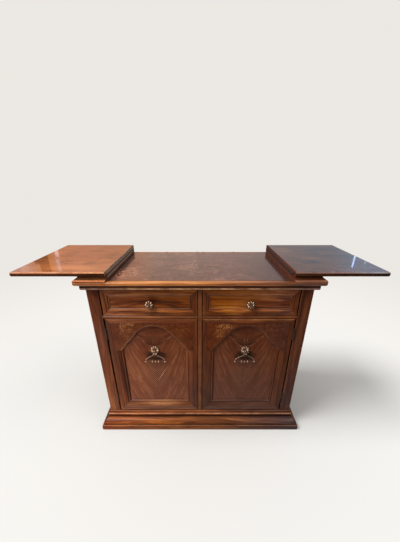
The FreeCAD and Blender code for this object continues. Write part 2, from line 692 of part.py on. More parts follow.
# ---------------------------------------------------------------- drawers
for tag, s in SIDES:
    face = d.body_front
    body = prism("DrawerFront_" + tag, "XZ",
                 flip([(d.front_inner, d.front_low), (d.front_outer, d.front_low), (d.front_outer, d.front_high),
                       (d.front_inner, d.front_high)], s), face, face + d.front_thick)
    # sunk panel with sloping sides
    outer = d.front_border
    inner = d.front_border + d.front_bevel
    rims = []
    for level, (inset, depth) in enumerate(((outer, size(0)), (inner, d.front_sink))):
        rims.append(sketch(body, "DrawerSink%d_%s" % (level, tag), "XZ", face + depth,
                           flip([(d.front_inner + inset, d.front_low + inset),
                                 (d.front_outer - inset, d.front_low + inset),
                                 (d.front_outer - inset, d.front_high - inset),
                                 (d.front_inner + inset, d.front_high - inset)], s)))
    sink = body.newObject("PartDesign::SubtractiveLoft", "DrawerSink_" + tag)
    sink.Profile = rims[0]
    sink.Sections = [rims[1]]
    sink.Ruled = True
    # hole for the knob's stud
    hole = body.newObject("Sketcher::SketchObject", "StudHole_" + tag)
    hole.AttachmentSupport = [(origin_plane(body, "XZ_Plane"), "")]
    hole.MapMode = "FlatFace"
    bind(hole, ".AttachmentOffset.Base.z", -face)
    hole.addGeometry(Part.Circle(Vector(216 * s, 731, 0), Vector(0, 0, 1), 2.3), False)
    for kind, value in (("DistanceX", d.knob_x * s), ("DistanceY", d.knob_z)):
        k = hole.addConstraint(Sketcher.Constraint(kind, -1, 1, 0, 3, value.number))
        hole.setExpression("Constraints[%d]" % k, value.text)
    k = hole.addConstraint(Sketcher.Constraint("Radius", 0, 2.3))
    hole.setExpression("Constraints[%d]" % k, (d.stud_r + 0.3).text)
    drill = body.newObject("PartDesign::Pocket", "StudDrill_" + tag)
    drill.Profile = hole
    bind(drill, "Length", 100)
    drill.Midplane = True
    doc.recompute()
    keep(body, "drawer_front_" + tag)

    inside = d.body_front + d.front_thick
    group("drawer_sides_" + tag,
          [box("DrawerSideIn_" + tag, d.box_inner * s, (d.box_inner + d.box_side) * s, inside, d.box_back,
               d.box_low, d.box_high),
           box("DrawerSideOut_" + tag, (d.box_outer - d.box_side) * s, d.box_outer * s, inside, d.box_back,
               d.box_low, d.box_high)])
    keep(box("DrawerBack_" + tag, (d.box_inner + d.box_side) * s, (d.box_outer - d.box_side) * s,
             d.box_back - d.box_side, d.box_back, d.bottom_low + d.bottom_thick, d.box_high - 6),
         "drawer_back_" + tag)
    keep(box("DrawerBottom_" + tag, (d.box_inner + d.box_side) * s, (d.box_outer - d.box_side) * s,
             inside, d.box_back, d.bottom_low, d.bottom_low + d.bottom_thick), "drawer_bottom_" + tag)

    # knob turned about the stud: backplate, neck, rosette head, stud and nut
    panel_y = d.body_front + d.front_sink
    reach = panel_y - d.knob_reach
    body = new_body("Knob_" + tag)
    turned = [(0, reach), (6, reach + 0.6), (d.knob_r - 3, reach + 3), (d.knob_r, reach + 6.5),
              (d.knob_r - 4, reach + 9.5), (5.5, reach + 11), (5.5, panel_y - 4), (9, panel_y - 2.5),
              (10, panel_y - 0.05), (d.stud_r, panel_y - 0.05), (d.stud_r, inside + 0.3), (3.6, inside + 0.3),
              (3.6, inside + 3.0), (d.stud_r, inside + 3.0), (d.stud_r, inside + 6.0), (0, inside + 6.0)]
    sk = sketch(body, "KnobProfile_" + tag, "XY", 0, turned)
    spin = body.newObject("PartDesign::Revolution", "KnobTurn_" + tag)
    spin.Profile = sk
    for feature in body.Origin.OriginFeatures:
        if feature.Role == "Y_Axis":
            spin.ReferenceAxis = (feature, [""])
    spin.Angle = 360
    bind(body, ".Placement.Base.x", d.knob_x * s)
    bind(body, ".Placement.Base.z", d.knob_z)
    doc.recompute()
    keep(body, "drawer_knob_" + tag)

# ---------------------------------------------------------------- doors
door_back = d.body_front + d.door_thick
for tag, s in SIDES:
    # stiles: full section below the shoulder, narrow beside the arched rail
    members = []
    for which, edge, way, width in (("lock", d.front_inner, 1, d.field_inner - d.front_inner),
                                    ("hinge", d.door_outer, -1, d.door_outer - d.field_outer)):
        body = new_body("DoorStile_%s_%s" % (which, tag))

        def across(u, y):
            return ((edge + u * way) * s, y)

        face = d.body_front
        full = [across(size(0), face), across(d.door_border, face), across(width, face + d.field_deep),
                across(width, face + d.rabbet_deep), across(width - d.rabbet_in, face + d.rabbet_deep),
                across(width - d.rabbet_in, door_back), across(size(0), door_back)]
        pad(body, sketch(body, "StileProfile_%s_%s" % (which, tag), "XY", d.door_low, full),
            d.shoulder_z - d.door_low)
        upper = [across(size(0), face), across(d.door_border, face), across(d.door_border, door_back),
                 across(size(0), door_back)]
        pad(body, sketch(body, "StileUpper_%s_%s" % (which, tag), "XY", d.shoulder_z, upper),
            d.door_high - d.shoulder_z)
        # mitre at the foot
        low = d.field_low - d.door_low
        mitre = [across(size(-3), d.door_low), across(size(-3), d.door_low)]
        corner_sk = sketch(body, "StileMitre_%s_%s" % (which, tag), "XZ", d.body_front - 5,
                           [((edge - width * 0.1 * way) * s, d.door_low - low * 0.1),
                            ((edge + width * 1.1 * way) * s, d.door_low + low * 1.1),
                            ((edge + width * 1.1 * way) * s, d.door_low - low * 0.1)])
        cut_through(body, corner_sk, 200)
        doc.recompute()
        members.append(body)
    group("door_stiles_" + tag, members)

    # bottom rail, mitred to the stiles
    body = new_body("DoorBottomRail_" + tag)
    face = d.body_front
    low = d.field_low - d.door_low
    section = [(face, d.door_low), (face, d.door_low + d.door_border), (face + d.field_deep, d.field_low),
               (face + d.rabbet_deep, d.field_low), (face + d.rabbet_deep, d.field_low - d.rabbet_in),
               (door_back, d.field_low - d.rabbet_in), (door_back, d.door_low)]
    a, b = d.front_inner * s, d.door_outer * s
    lo, hi = (a, b) if a.number < b.number else (b, a)
    pad(body, sketch(body, "BottomRailProfile_" + tag, "YZ", lo, section), hi - lo)
    for which, edge, way, width in (("lock", d.front_inner, 1, d.field_inner - d.front_inner),
                                    ("hinge", d.door_outer, -1, d.door_outer - d.field_outer)):
        corner_sk = sketch(body, "RailMitre_%s_%s" % (which, tag), "XZ", d.body_front - 5,
                           [((edge - width * 0.1 * way) * s, d.door_low - low * 0.1),
                            ((edge + width * 1.1 * way) * s, d.door_low + low * 1.1),
                            ((edge - width * 0.1 * way) * s, d.door_low + low * 1.1)])
        cut_through(body, corner_sk, 200)
    doc.recompute()
    bottom_rail = body

    # arched top rail: its lower edge steps at the shoulders, rises on the
    # diagonal and closes in an arc
    body = new_body("DoorTopRail_" + tag)
    left_in = d.front_inner + d.door_border
    right_in = d.door_outer - d.door_border
    mid = d.door_mid
    arch = [(left_in, d.shoulder_z), (d.field_inner, d.shoulder_z),
            (mid - d.spring_half, d.spring_z), (mid, d.crown_z), (mid + d.spring_half, d.spring_z),
            (d.field_outer, d.shoulder_z), (right_in, d.shoulder_z),
            (right_in, d.door_high), (left_in, d.door_high)]
    rise = d.crown_z.number - d.spring_z.number
    half_chord = math.hypot(d.spring_half.number, rise) / 2
    radius = 98.0
    arcs = {2: (radius, -1), 3: (radius, -1)} if s > 0 else {2: (radius, 1), 3: (radius, 1)}
    rail_sk = sketch(body, "TopRailOutline_" + tag, "XZ", face + d.rabbet_deep, flip(arch, s), arcs)
    pad(body, rail_sk, d.rabbet_deep - 1.2)
    pad(body, sketch(body, "TopRailBack_" + tag, "XZ", door_back,
                     flip([(left_in, d.door_high - 22), (right_in, d.door_high - 22), (right_in, d.door_high),
                           (left_in, d.door_high)], s)), d.door_thick - d.rabbet_deep)
    doc.recompute()
    group("door_rails_" + tag, [bottom_rail, body])

    keep(box("DoorPanel_" + tag, (d.field_inner - d.rabbet_in + 0.3) * s, (d.field_outer + d.rabbet_in - 0.3) * s,
             face + d.panel_face, face + d.panel_face + d.door_panel,
             d.field_low - d.rabbet_in + 0.3, d.door_high - 22.3), "door_panel_" + tag)

# butt hinges: plates on the door's edge and on the post, barrels between
for tag, s in SIDES:
    fixed, moving = [], []
    for spot, z in (("low", d.butt_low), ("high", d.butt_high)):
        base = z - d.butt_len / 2
        end_len = (d.butt_len - d.butt_mid) / 2 - d.butt_gap
        plate_front = d.pin_y + d.butt_r + 0.4
        # on the post
        parts = [box("ButtPost_%s_%s" % (tag, spot), (post_in - d.butt_plate) * s, post_in * s,
                     plate_front, post_back - 4, base, base + d.butt_len)]
        for end, z0 in (("a", base), ("b", base + d.butt_len - end_len)):
            parts.append(rod("ButtBarrel%s_%s_%s" % (end, tag, spot), "Z", (d.pin_x * s, d.pin_y, z0),
                             end_len, d.butt_r))
            parts.append(box("ButtWeb%s_%s_%s" % (end, tag, spot), (post_in - d.butt_plate) * s, post_in * s - 0.05 * s,
                             d.pin_y + 1.0, plate_front + 0.5, z0, z0 + end_len))
        parts.append(rod("ButtPin_%s_%s" % (tag, spot), "Z", (d.pin_x * s, d.pin_y, base - 1.5),
                         d.butt_len + 3, d.butt_pin))
        fixed.append(fused("ButtFixed_%s_%s" % (tag, spot), parts))
        # on the door
        mid_low = z - d.butt_mid / 2
        solid = fused("ButtDoor_%s_%s" % (tag, spot),
                      [box("ButtLeaf_%s_%s" % (tag, spot), d.door_outer * s, (d.door_outer + d.butt_plate) * s,
                           plate_front, door_back - 2, base, base + d.butt_len),
                       rod("ButtBarrelM_%s_%s" % (tag, spot), "Z", (d.pin_x * s, d.pin_y, mid_low),
                           d.butt_mid, d.butt_r),
                       box("ButtWebM_%s_%s" % (tag, spot), (d.door_outer + 0.05) * s,
                           (d.door_outer + d.butt_plate) * s, d.pin_y + 1.0, plate_front + 0.5,
                           mid_low, mid_low + d.butt_mid)])
        bore = rod("ButtBore_%s_%s" % (tag, spot), "Z", (d.pin_x * s, d.pin_y, mid_low - 1),
                   d.butt_mid + 2, d.butt_pin + d.butt_play)
        moving.append(cut("ButtMoving_%s_%s" % (tag, spot), solid, bore))
    doc.recompute()
    group("door_hinges_fixed_" + tag, fixed)
    group("door_hinges_moving_" + tag, moving)

# magnetic catches on the partition and strike plates on the doors
members = []
for tag, s in SIDES:
    members.append(box("Catch_" + tag, d.stile_half * s, (d.stile_half + 15) * s, door_back + 1.9, door_back + 32,
                       d.catch_z, d.catch_z + 26))
group("door_catches", members)
for tag, s in SIDES:
    keep(box("Strike_" + tag, (d.front_inner + 2) * s, (d.front_inner + 14) * s, door_back, door_back + 1.4,
             d.catch_z + 3, d.catch_z + 23), "door_strike_" + tag)

# ---------------------------------------------------------------- pulls
for tag, s in SIDES:
    mid_x = d.door_mid * s
    field = d.body_front + d.panel_face
    # rosette on the door's field: disc, boss, spacer, two lugs with the pin
    plate_y = field - d.rose_thick
    parts = [rod("Rose_" + tag, "Y", (mid_x, plate_y, d.pull_z), d.rose_thick - 0.02, d.rose_r),
             rod("Boss_" + tag, "Y", (mid_x, field - d.boss_reach - 2.0, d.pull_z), d.boss_reach - 2.0, d.boss_r)]
    for ear in (-1, 1):
        x0 = mid_x + (d.hub_half + 0.5) * ear
        x1 = mid_x + (d.hub_half + 3.0) * ear
        lo, hi = (x0, x1) if ear > 0 else (x1, x0)
        parts.append(rod("Lug%d_%s" % (ear + 1, tag), "X", (lo, d.bail_y, d.bail_z), hi - lo, d.lug_r))
        parts.append(box("LugWeb%d_%s" % (ear + 1, tag), lo, hi, d.bail_y, plate_y + 0.5,
                         d.bail_z - d.lug_r * 0.9, d.bail_z + d.lug_r * 0.9))
    parts.append(rod("BailPin_" + tag, "X", (mid_x - (d.hub_half + 3.0), d.bail_y, d.bail_z),
                     (d.hub_half + 3.0) * 2, d.bail_pin))
    keep(fused("PullPlate_" + tag, parts), "pull_rosette_" + tag)

    # bail: hub on the pin, two arms spreading to a beaded grip bar
    hub = rod("Hub_" + tag, "X", (mid_x - d.hub_half, d.bail_y, d.bail_z), d.hub_half * 2, d.hub_r)
    swell = math.sqrt(d.bead_r.number ** 2 - d.bar_r.number ** 2)
    outline = [(-d.bar_half, 0), (-d.bar_half, d.bar_r - 0.8), (-d.bar_half + 0.8, d.bar_r)]
    curves = {}
    for spot in (-46, -14.6, 0, 14.6, 46):
        curves[len(outline)] = (d.bead_r, -1)
        outline += [(size(spot - swell), d.bar_r), (size(spot + swell), d.bar_r)]
    outline += [(d.bar_half - 0.8, d.bar_r), (d.bar_half, d.bar_r - 0.8), (d.bar_half, 0)]
    grip = new_body("Grip_" + tag)
    turning = grip.newObject("PartDesign::Revolution", "GripTurn_" + tag)
    turning.Profile = sketch(grip, "GripProfile_" + tag, "XY", 0, outline, curves)
    for feature in grip.Origin.OriginFeatures:
        if feature.Role == "X_Axis":
            turning.ReferenceAxis = (feature, [""])
    turning.Angle = 360
    bind(grip, ".Placement.Base.x", mid_x)
    bind(grip, ".Placement.Base.y", d.bail_y)
    bind(grip, ".Placement.Base.z", d.bar_z)
    doc.recompute()
    parts = [hub, grip]
    for ear in (-1, 1):
        # an arm from under the hub, out and down to the end of the bar
        stops = [(mid_x + size(1.6) * ear, d.bail_z - 6.0), (mid_x + size(14) * ear, d.bail_z - 10.5),
                 (mid_x + size(40) * ear, d.bar_z + 17.0), (mid_x + (d.bar_half - 6) * ear, d.bar_z + 2.0)]
        for number, (top, end) in enumerate(zip(stops, stops[1:])):
            run_x = end[0].number - top[0].number
            run_z = end[1].number - top[1].number
            arm = doc.addObject("Part::Cylinder", "Arm%d%d_%s" % (ear + 1, number, tag))
            arm.Placement = Placement(Vector(), Rotation(Vector(0, 0, 1), Vector(run_x, 0, run_z)))
            bind(arm, "Radius", d.arm_r)
            bind(arm, "Height", Size(math.hypot(run_x, run_z), "sqrt((%s)^2 + (%s)^2)" % (
                (end[0] - top[0]).text, (end[1] - top[1]).text)))
            bind(arm, ".Placement.Base.x", top[0])
            bind(arm, ".Placement.Base.y", d.bail_y)
            bind(arm, ".Placement.Base.z", top[1])
            parts.append(arm)
            if number:
                knee = doc.addObject("Part::Sphere", "Knee%d%d_%s" % (ear + 1, number, tag))
                bind(knee, "Radius", d.arm_r)
                bind(knee, ".Placement.Base.x", top[0])
                bind(knee, ".Placement.Base.y", d.bail_y)
                bind(knee, ".Placement.Base.z", top[1])
                parts.append(knee)
    parts.append(box("HubTab_" + tag, mid_x - 3.6, mid_x + 3.6, d.bail_y - 2.2, d.bail_y + 2.2,
                     d.bail_z - d.hub_r - 4.0, d.bail_z - d.hub_r + 1.2))
    whole = fused("BailSolid_" + tag, parts)
    bore = rod("BailBore_" + tag, "X", (mid_x - d.hub_half - 1, d.bail_y, d.bail_z), d.hub_half * 2 + 2,
               d.bail_pin + d.bail_play)
    keep(cut("Bail_" + tag, whole, bore), "pull_bail_" + tag)

# ---------------------------------------------------------------- checks and export
doc.recompute()
bad = [o.Name for o in doc.Objects if "Invalid" in o.State or "Error" in o.State]
if bad:
    raise RuntimeError("failed features: " + ", ".join(bad))
labels = [o.Label for o in nodes]
if len(set(labels)) != len(labels) or len(labels) > 60:
    raise RuntimeError("the labels must differ and be at most 60")
for obj in nodes:
    shape = obj.Shape
    if shape.isNull() or not shape.isValid() or not shape.Solids:
        raise RuntimeError("bad shape: " + obj.Label)

os.makedirs("parts", exist_ok=True)
for obj in nodes:
    obj.Shape.exportStep(os.path.join("parts", obj.Label + ".step"))
whole = None
for obj in nodes:
    b = obj.Shape.BoundBox
    whole = b if whole is None else whole.united(b)
    print("%-26s solids %2d  x %8.2f %8.2f  y %8.2f %8.2f  z %8.2f %8.2f" % (
        obj.Label, len(obj.Shape.Solids), b.XMin, b.XMax, b.YMin, b.YMax, b.ZMin, b.ZMax))
print("nodes", len(nodes), "size", round(whole.XLength, 2), round(whole.YLength, 2), round(whole.ZLength, 2))
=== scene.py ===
import math

import bmesh
import bpy
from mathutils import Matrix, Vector


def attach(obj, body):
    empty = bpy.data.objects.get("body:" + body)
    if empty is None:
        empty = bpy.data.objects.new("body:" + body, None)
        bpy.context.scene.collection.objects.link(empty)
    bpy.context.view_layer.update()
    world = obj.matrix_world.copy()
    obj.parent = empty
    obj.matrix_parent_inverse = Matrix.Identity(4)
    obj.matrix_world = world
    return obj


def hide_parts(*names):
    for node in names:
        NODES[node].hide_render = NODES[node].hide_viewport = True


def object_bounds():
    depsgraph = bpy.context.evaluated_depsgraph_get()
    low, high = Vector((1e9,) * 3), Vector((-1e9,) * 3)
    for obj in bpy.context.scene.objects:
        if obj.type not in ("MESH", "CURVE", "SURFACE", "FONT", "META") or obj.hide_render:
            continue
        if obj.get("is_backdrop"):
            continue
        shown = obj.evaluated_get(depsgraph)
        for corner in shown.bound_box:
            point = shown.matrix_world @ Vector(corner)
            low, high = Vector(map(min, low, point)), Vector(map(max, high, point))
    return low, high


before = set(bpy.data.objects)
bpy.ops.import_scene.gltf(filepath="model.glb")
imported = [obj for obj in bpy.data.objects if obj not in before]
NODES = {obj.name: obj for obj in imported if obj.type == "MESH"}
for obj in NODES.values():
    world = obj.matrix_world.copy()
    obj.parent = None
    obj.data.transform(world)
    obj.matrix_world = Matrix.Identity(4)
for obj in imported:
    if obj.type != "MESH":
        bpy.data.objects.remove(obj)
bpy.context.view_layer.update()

# =====================================================================
# Mesh building: points in millimetres, in the row frame
# =====================================================================


class Shape:
    """Collects points and faces. tone is +1 on arrises, which get rubbed wear and a painted highlight, and -1 in
    grooves and hollows, which get painted shade.
    """

    def __init__(self):
        self.points, self.tones, self.faces, self.mats = [], [], [], []

    def point(self, p, tone=0.0):
        self.points.append(tuple(p))
        self.tones.append(tone)
        return len(self.points) - 1

    def ring(self, pts, tone=0.0):
        return [self.point(p, tone) for p in pts]

    def face(self, ids, mat=0):
        self.faces.append(list(ids))
        self.mats.append(mat)

    def skin(self, a, b, mat=0, closed=True):
        """Quads between two rings. mat is a number or one number per segment."""
        n = len(a)
        for i in range(n if closed else n - 1):
            j = (i + 1) % n
            m = mat[i] if isinstance(mat, (list, tuple)) else mat
            self.face([a[i], a[j], b[j], b[i]], m)

    def skins(self, rings, mat=0, closed=True):
        for a, b in zip(rings, rings[1:]):
            self.skin(a, b, mat, closed)

    def lid(self, ring, mat=0):
        self.face(ring, mat)

    def mirror(self):
        """The same shape mirrored about X = 0."""
        self.points = [(-x, y, z) for x, y, z in self.points]
        return self

    def make(self, name, mats, body, slot, replaces=(), sharp=32.0, weighted=True):
        mesh = bpy.data.meshes.new(name)
        bm = bmesh.new()
        tone = bm.verts.layers.float.new("tone")
        verts = []
        for p, t in zip(self.points, self.tones):
            v = bm.verts.new(Vector(p) * 0.001)
            v[tone] = t
            verts.append(v)
        for ids, m in zip(self.faces, self.mats):
            clean = []
            for i in ids:
                if not clean or i != clean[-1]:
                    clean.append(i)
            if len(set(clean)) < 3:
                continue
            try:
                f = bm.faces.new([verts[i] for i in clean])
            except ValueError:
                continue
            f.material_index = m
            f.smooth = True
        bmesh.ops.remove_doubles(bm, verts=bm.verts, dist=0.000004)
        bmesh.ops.dissolve_degenerate(bm, edges=bm.edges, dist=0.000003)
        loose = [v for v in bm.verts if not v.link_faces]
        bmesh.ops.delete(bm, geom=loose, context="VERTS")
        bmesh.ops.recalc_face_normals(bm, faces=bm.faces)
        limit = math.radians(sharp)
        for e in bm.edges:
            if len(e.link_faces) != 2 or e.calc_face_angle(0.0) > limit:
                e.smooth = False
        bm.to_mesh(mesh)
        bm.free()
        obj = bpy.data.objects.new(name, mesh)
        bpy.context.scene.collection.objects.link(obj)
        for m in mats:
            mesh.materials.append(m)
        if weighted:
            mod = obj.modifiers.new("normals", "WEIGHTED_NORMAL")
            mod.mode = "FACE_AREA"
            mod.weight = 50
            mod.keep_sharp = True
        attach(obj, body)
        if replaces:
            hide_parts(*replaces)
        return obj


def arc(cu, cv, r, a0, a1, n):
    """Points of an arc in a plane, angles in degrees."""
    return [(cu + r * math.cos(math.radians(a0 + (a1 - a0) * k / n)),
             cv + r * math.sin(math.radians(a0 + (a1 - a0) * k / n))) for k in range(n + 1)]


def lerp(a, b, t):
    return tuple(p + (q - p) * t for p, q in zip(a, b))


def extrude(shape, section, axis, stations, mat=0):
    """A section of (u, v, tone) along an axis, through stations of (place, tone)."""
    rings = []
    for place, end_tone in stations:
        ring = []
        for u, v, t in section:
            p = {"x": (place, u, v), "y": (u, place, v), "z": (u, v, place)}[axis]
            ring.append(shape.point(p, max(-1.0, min(1.0, t + end_tone))))
        rings.append(ring)
    shape.skins(rings, mat)
    shape.lid(rings[0], mat)
    shape.lid(rings[-1], mat)


def strip(shape, a_out, a_in, b_out, b_in, section, face_y, mat=0, seam=1.1):
    """A bar in the XZ plane between two mitres. section is closed, of (t, depth, tone):
    t runs from the outer corner to the inner one, depth goes in from the face."""
    length = math.dist(a_out, b_out)
    rings = []
    for f, extra in ((0.0, -0.8), (seam / length, 0.0), (1 - seam / length, 0.0), (1.0, -0.8)):
        ring = []
        for t, depth, tone in section:
            p = lerp(lerp(a_out, a_in, t), lerp(b_out, b_in, t), f)
            ring.append(shape.point((p[0], face_y + depth, p[1]), max(-1.0, min(1.0, tone + extra))))
        rings.append(ring)
    shape.skins(rings, mat)
    shape.lid(rings[0], mat)
    shape.lid(rings[-1], mat)


def lathe(shape, origin, axis, profile, n=36, mat=0, bump=None):
    """A profile of (along, radius, tone) turned about an axis through origin."""
    rings = []
    for along, radius, tone in profile:
        if radius < 1e-6:
            p = {"x": (along, 0, 0), "y": (0, along, 0), "z": (0, 0, along)}[axis]
            rings.append([shape.point([o + q for o, q in zip(origin, p)], tone)])
            continue
        ring = []
        for k in range(n):
            a = 2 * math.pi * k / n
            r = radius * (bump(along, a) if bump else 1.0)
            c, s = r * math.cos(a), r * math.sin(a)
            p = {"x": (along, c, s), "y": (c, along, s), "z": (c, s, along)}[axis]
            ring.append(shape.point([o + q for o, q in zip(origin, p)], tone))
        rings.append(ring)
    for a, b in zip(rings, rings[1:]):
        if len(a) == 1 and len(b) == 1:
            continue
        if len(a) == 1:
            for k in range(n):
                shape.face([a[0], b[k], b[(k + 1) % n]], mat)
        elif len(b) == 1:
            for k in range(n):
                shape.face([a[k], a[(k + 1) % n], b[0]], mat)
        else:
            shape.skin(a, b, mat)
    if len(rings[0]) > 1:
        shape.lid(rings[0], mat)
    if len(rings[-1]) > 1:
        shape.lid(rings[-1], mat)


def tube(shape, path, radii, n=14, mat=0, tones=None):
    """A round bar of changing thickness along a path, closed with domed ends."""
    pts = [Vector(p) for p in path]
    side = None
    rings = []
    for i, p in enumerate(pts):
        way = (pts[min(i + 1, len(pts) - 1)] - pts[max(i - 1, 0)]).normalized()
        if side is None:
            side = way.cross(Vector((0, 1, 0)))
            if side.length < 0.1:
                side = way.cross(Vector((1, 0, 0)))
        side = (side - way * side.dot(way)).normalized()
        up = way.cross(side)
        t = tones[i] if tones else 0.0
        rings.append([shape.point(p + (side * math.cos(2 * math.pi * k / n) + up * math.sin(2 * math.pi * k / n)) * radii[i], t)
                      for k in range(n)])
    shape.skins(rings, mat)
    for ring, p, q in ((rings[0], pts[0], pts[1]), (rings[-1], pts[-1], pts[-2])):
        tip = shape.point(p + (p - q).normalized() * (radii[0] * 0.4), 0.2)
        for k in range(n):
            shape.face([ring[k], ring[(k + 1) % n], tip], mat)


# =====================================================================
# Materials
# =====================================================================


class Graph:
    """Short hands for one material's nodes."""

    def __init__(self, name):
        self.mat = bpy.data.materials.new(name)
        self.mat.use_nodes = True
        self.tree = self.mat.node_tree
        self.tree.nodes.clear()
        self.place = None

    def node(self, kind, **props):
        n = self.tree.nodes.new(kind)
        for k, v in props.items():
            setattr(n, k, v)
        return n

    def put(self, socket, value):
        if isinstance(value, bpy.types.NodeSocket):
            self.tree.links.new(value, socket)
        elif value is not None:
            socket.default_value = value

    def math(self, op, a, b=None, c=None, clamp=False):
        n = self.node("ShaderNodeMath", operation=op, use_clamp=clamp)
        for s, v in zip(n.inputs, (a, b, c)):
            self.put(s, v)
        return n.outputs[0]

    def add(self, a, b):
        return self.math("ADD", a, b)

    def sub(self, a, b):
        return self.math("SUBTRACT", a, b)

    def mul(self, a, b):
        return self.math("MULTIPLY", a, b)

    def vec(self, x, y, z):
        n = self.node("ShaderNodeCombineXYZ")
        for s, v in zip(n.inputs, (x, y, z)):
            self.put(s, v)
        return n.outputs[0]

    def position(self):
        if self.place is None:
            tc = self.node("ShaderNodeTexCoord")
            sep = self.node("ShaderNodeSeparateXYZ")
            self.tree.links.new(tc.outputs["Object"], sep.inputs[0])
            self.place = (tc.outputs["Object"], sep.outputs[0], sep.outputs[1], sep.outputs[2])
        return self.place

    def noise(self, vector, scale=1.0, detail=2.0, rough=0.5, distortion=0.0):
        n = self.node("ShaderNodeTexNoise")
        self.put(n.inputs["Vector"], vector)
        n.inputs["Scale"].default_value = scale
        n.inputs["Detail"].default_value = detail
        n.inputs["Roughness"].default_value = rough
        n.inputs["Distortion"].default_value = distortion
        return n.outputs["Fac"] if "Fac" in n.outputs else n.outputs[0]

    def voronoi(self, vector, scale, feature="F1", smooth=0.4):
        n = self.node("ShaderNodeTexVoronoi", feature=feature)
        self.put(n.inputs["Vector"], vector)
        n.inputs["Scale"].default_value = scale
        if feature == "SMOOTH_F1":
            n.inputs["Smoothness"].default_value = smooth
        return n.outputs["Distance"]

    def span(self, value, a, b, lo=0.0, hi=1.0, smooth=True):
        n = self.node("ShaderNodeMapRange", interpolation_type="SMOOTHSTEP" if smooth else "LINEAR")
        self.put(n.inputs["Value"], value)
        n.inputs["From Min"].default_value = a
        n.inputs["From Max"].default_value = b
        n.inputs["To Min"].default_value = lo
        n.inputs["To Max"].default_value = hi
        return n.outputs[0]

    def ramp(self, fac, stops, mode="LINEAR"):
        n = self.node("ShaderNodeValToRGB")
        cr = n.color_ramp
        cr.interpolation = mode
        while len(cr.elements) < len(stops):
            cr.elements.new(0.5)
        for e, (at, colour) in zip(cr.elements, stops):
            e.position = at
            e.color = (*colour, 1.0)
        self.put(n.inputs[0], fac)
        return n.outputs[0]

    def mix(self, fac, a, b, mode="MIX"):
        n = self.node("ShaderNodeMix", data_type="RGBA", blend_type=mode)
        self.put(n.inputs[0], fac)
        for s, v in ((n.inputs[6], a), (n.inputs[7], b)):
            if isinstance(v, (tuple, list)):
                v = (*v, 1.0) if len(v) == 3 else v
            self.put(s, v)
        return n.outputs[2]

    def tone(self):
        return self.node("ShaderNodeAttribute", attribute_name="tone").outputs["Fac"]

    def bump(self, height, strength, distance, normal=None):
        n = self.node("ShaderNodeBump")
        n.inputs["Strength"].default_value = strength
        n.inputs["Distance"].default_value = distance
        self.put(n.inputs["Height"], height)
        if normal is not None:
            self.put(n.inputs["Normal"], normal)
        return n.outputs[0]

    def finish(self, color, rough, normal=None, metallic=0.0, specular=0.5, coat=0.0, coat_rough=0.1,
               sheen=0.0, ior=1.5):
        p = self.node("ShaderNodeBsdfPrincipled")
        out = self.node("ShaderNodeOutputMaterial")
        self.tree.links.new(p.outputs[0], out.inputs[0])
        self.put(p.inputs["Base Color"], color if not isinstance(color, tuple) else (*color, 1.0))
        self.put(p.inputs["Roughness"], rough)
        if normal is not None:
            self.put(p.inputs["Normal"], normal)
        self.put(p.inputs["Metallic"], metallic)
        p.inputs["Specular IOR Level"].default_value = specular
        p.inputs["IOR"].default_value = ior
        p.inputs["Coat Weight"].default_value = coat
        p.inputs["Coat Roughness"].default_value = coat_rough
        p.inputs["Sheen Weight"].default_value = sheen
        return self.mat


def shade(tones, r, g=None, b=None):
    """The same ramp, darker or warmer."""
    g, b = (r if g is None else g), (r if b is None else b)
    return [(at, (c[0] * r, c[1] * g, c[2] * b)) for at, c in tones]


def nearness(g, a, b, ca, cb, ra, rb, ragged=0.0, rag=None):
    """1 in the middle of an ellipse, 0 outside it."""
    da, db = g.math("DIVIDE", g.sub(a, ca), ra), g.math("DIVIDE", g.sub(b, cb), rb)
    d = g.math("SQRT", g.add(g.mul(da, da), g.mul(db, db)))
    if rag is not None:
        d = g.add(d, g.mul(rag, ragged))
    return g.span(d, 1.0, 0.25)


def grain_space(g, axis, seed, wander=1.0):
    """(along, across, across) coordinates of wood whose grain follows an axis, with a slow wander."""
    _, x, y, z = g.position()
    along, a, b = {"x": (x, y, z), "y": (y, x, z), "z": (z, x, y)}[axis]
    slow = g.sub(g.noise(g.vec(g.add(g.mul(along, 1.7), seed), g.mul(a, 4.0), g.mul(b, 4.0)), 1.0, 2.0), 0.5)
    quick = g.sub(g.noise(g.vec(g.add(g.mul(along, 7.0), seed * 2.1), g.mul(a, 16.0), g.mul(b, 16.0)), 1.0, 2.0), 0.5)
    shift = g.add(g.mul(slow, 0.085 * wander), g.mul(quick, 0.012 * wander))
    return along, g.add(a, shift), g.add(b, g.mul(shift, 0.8))


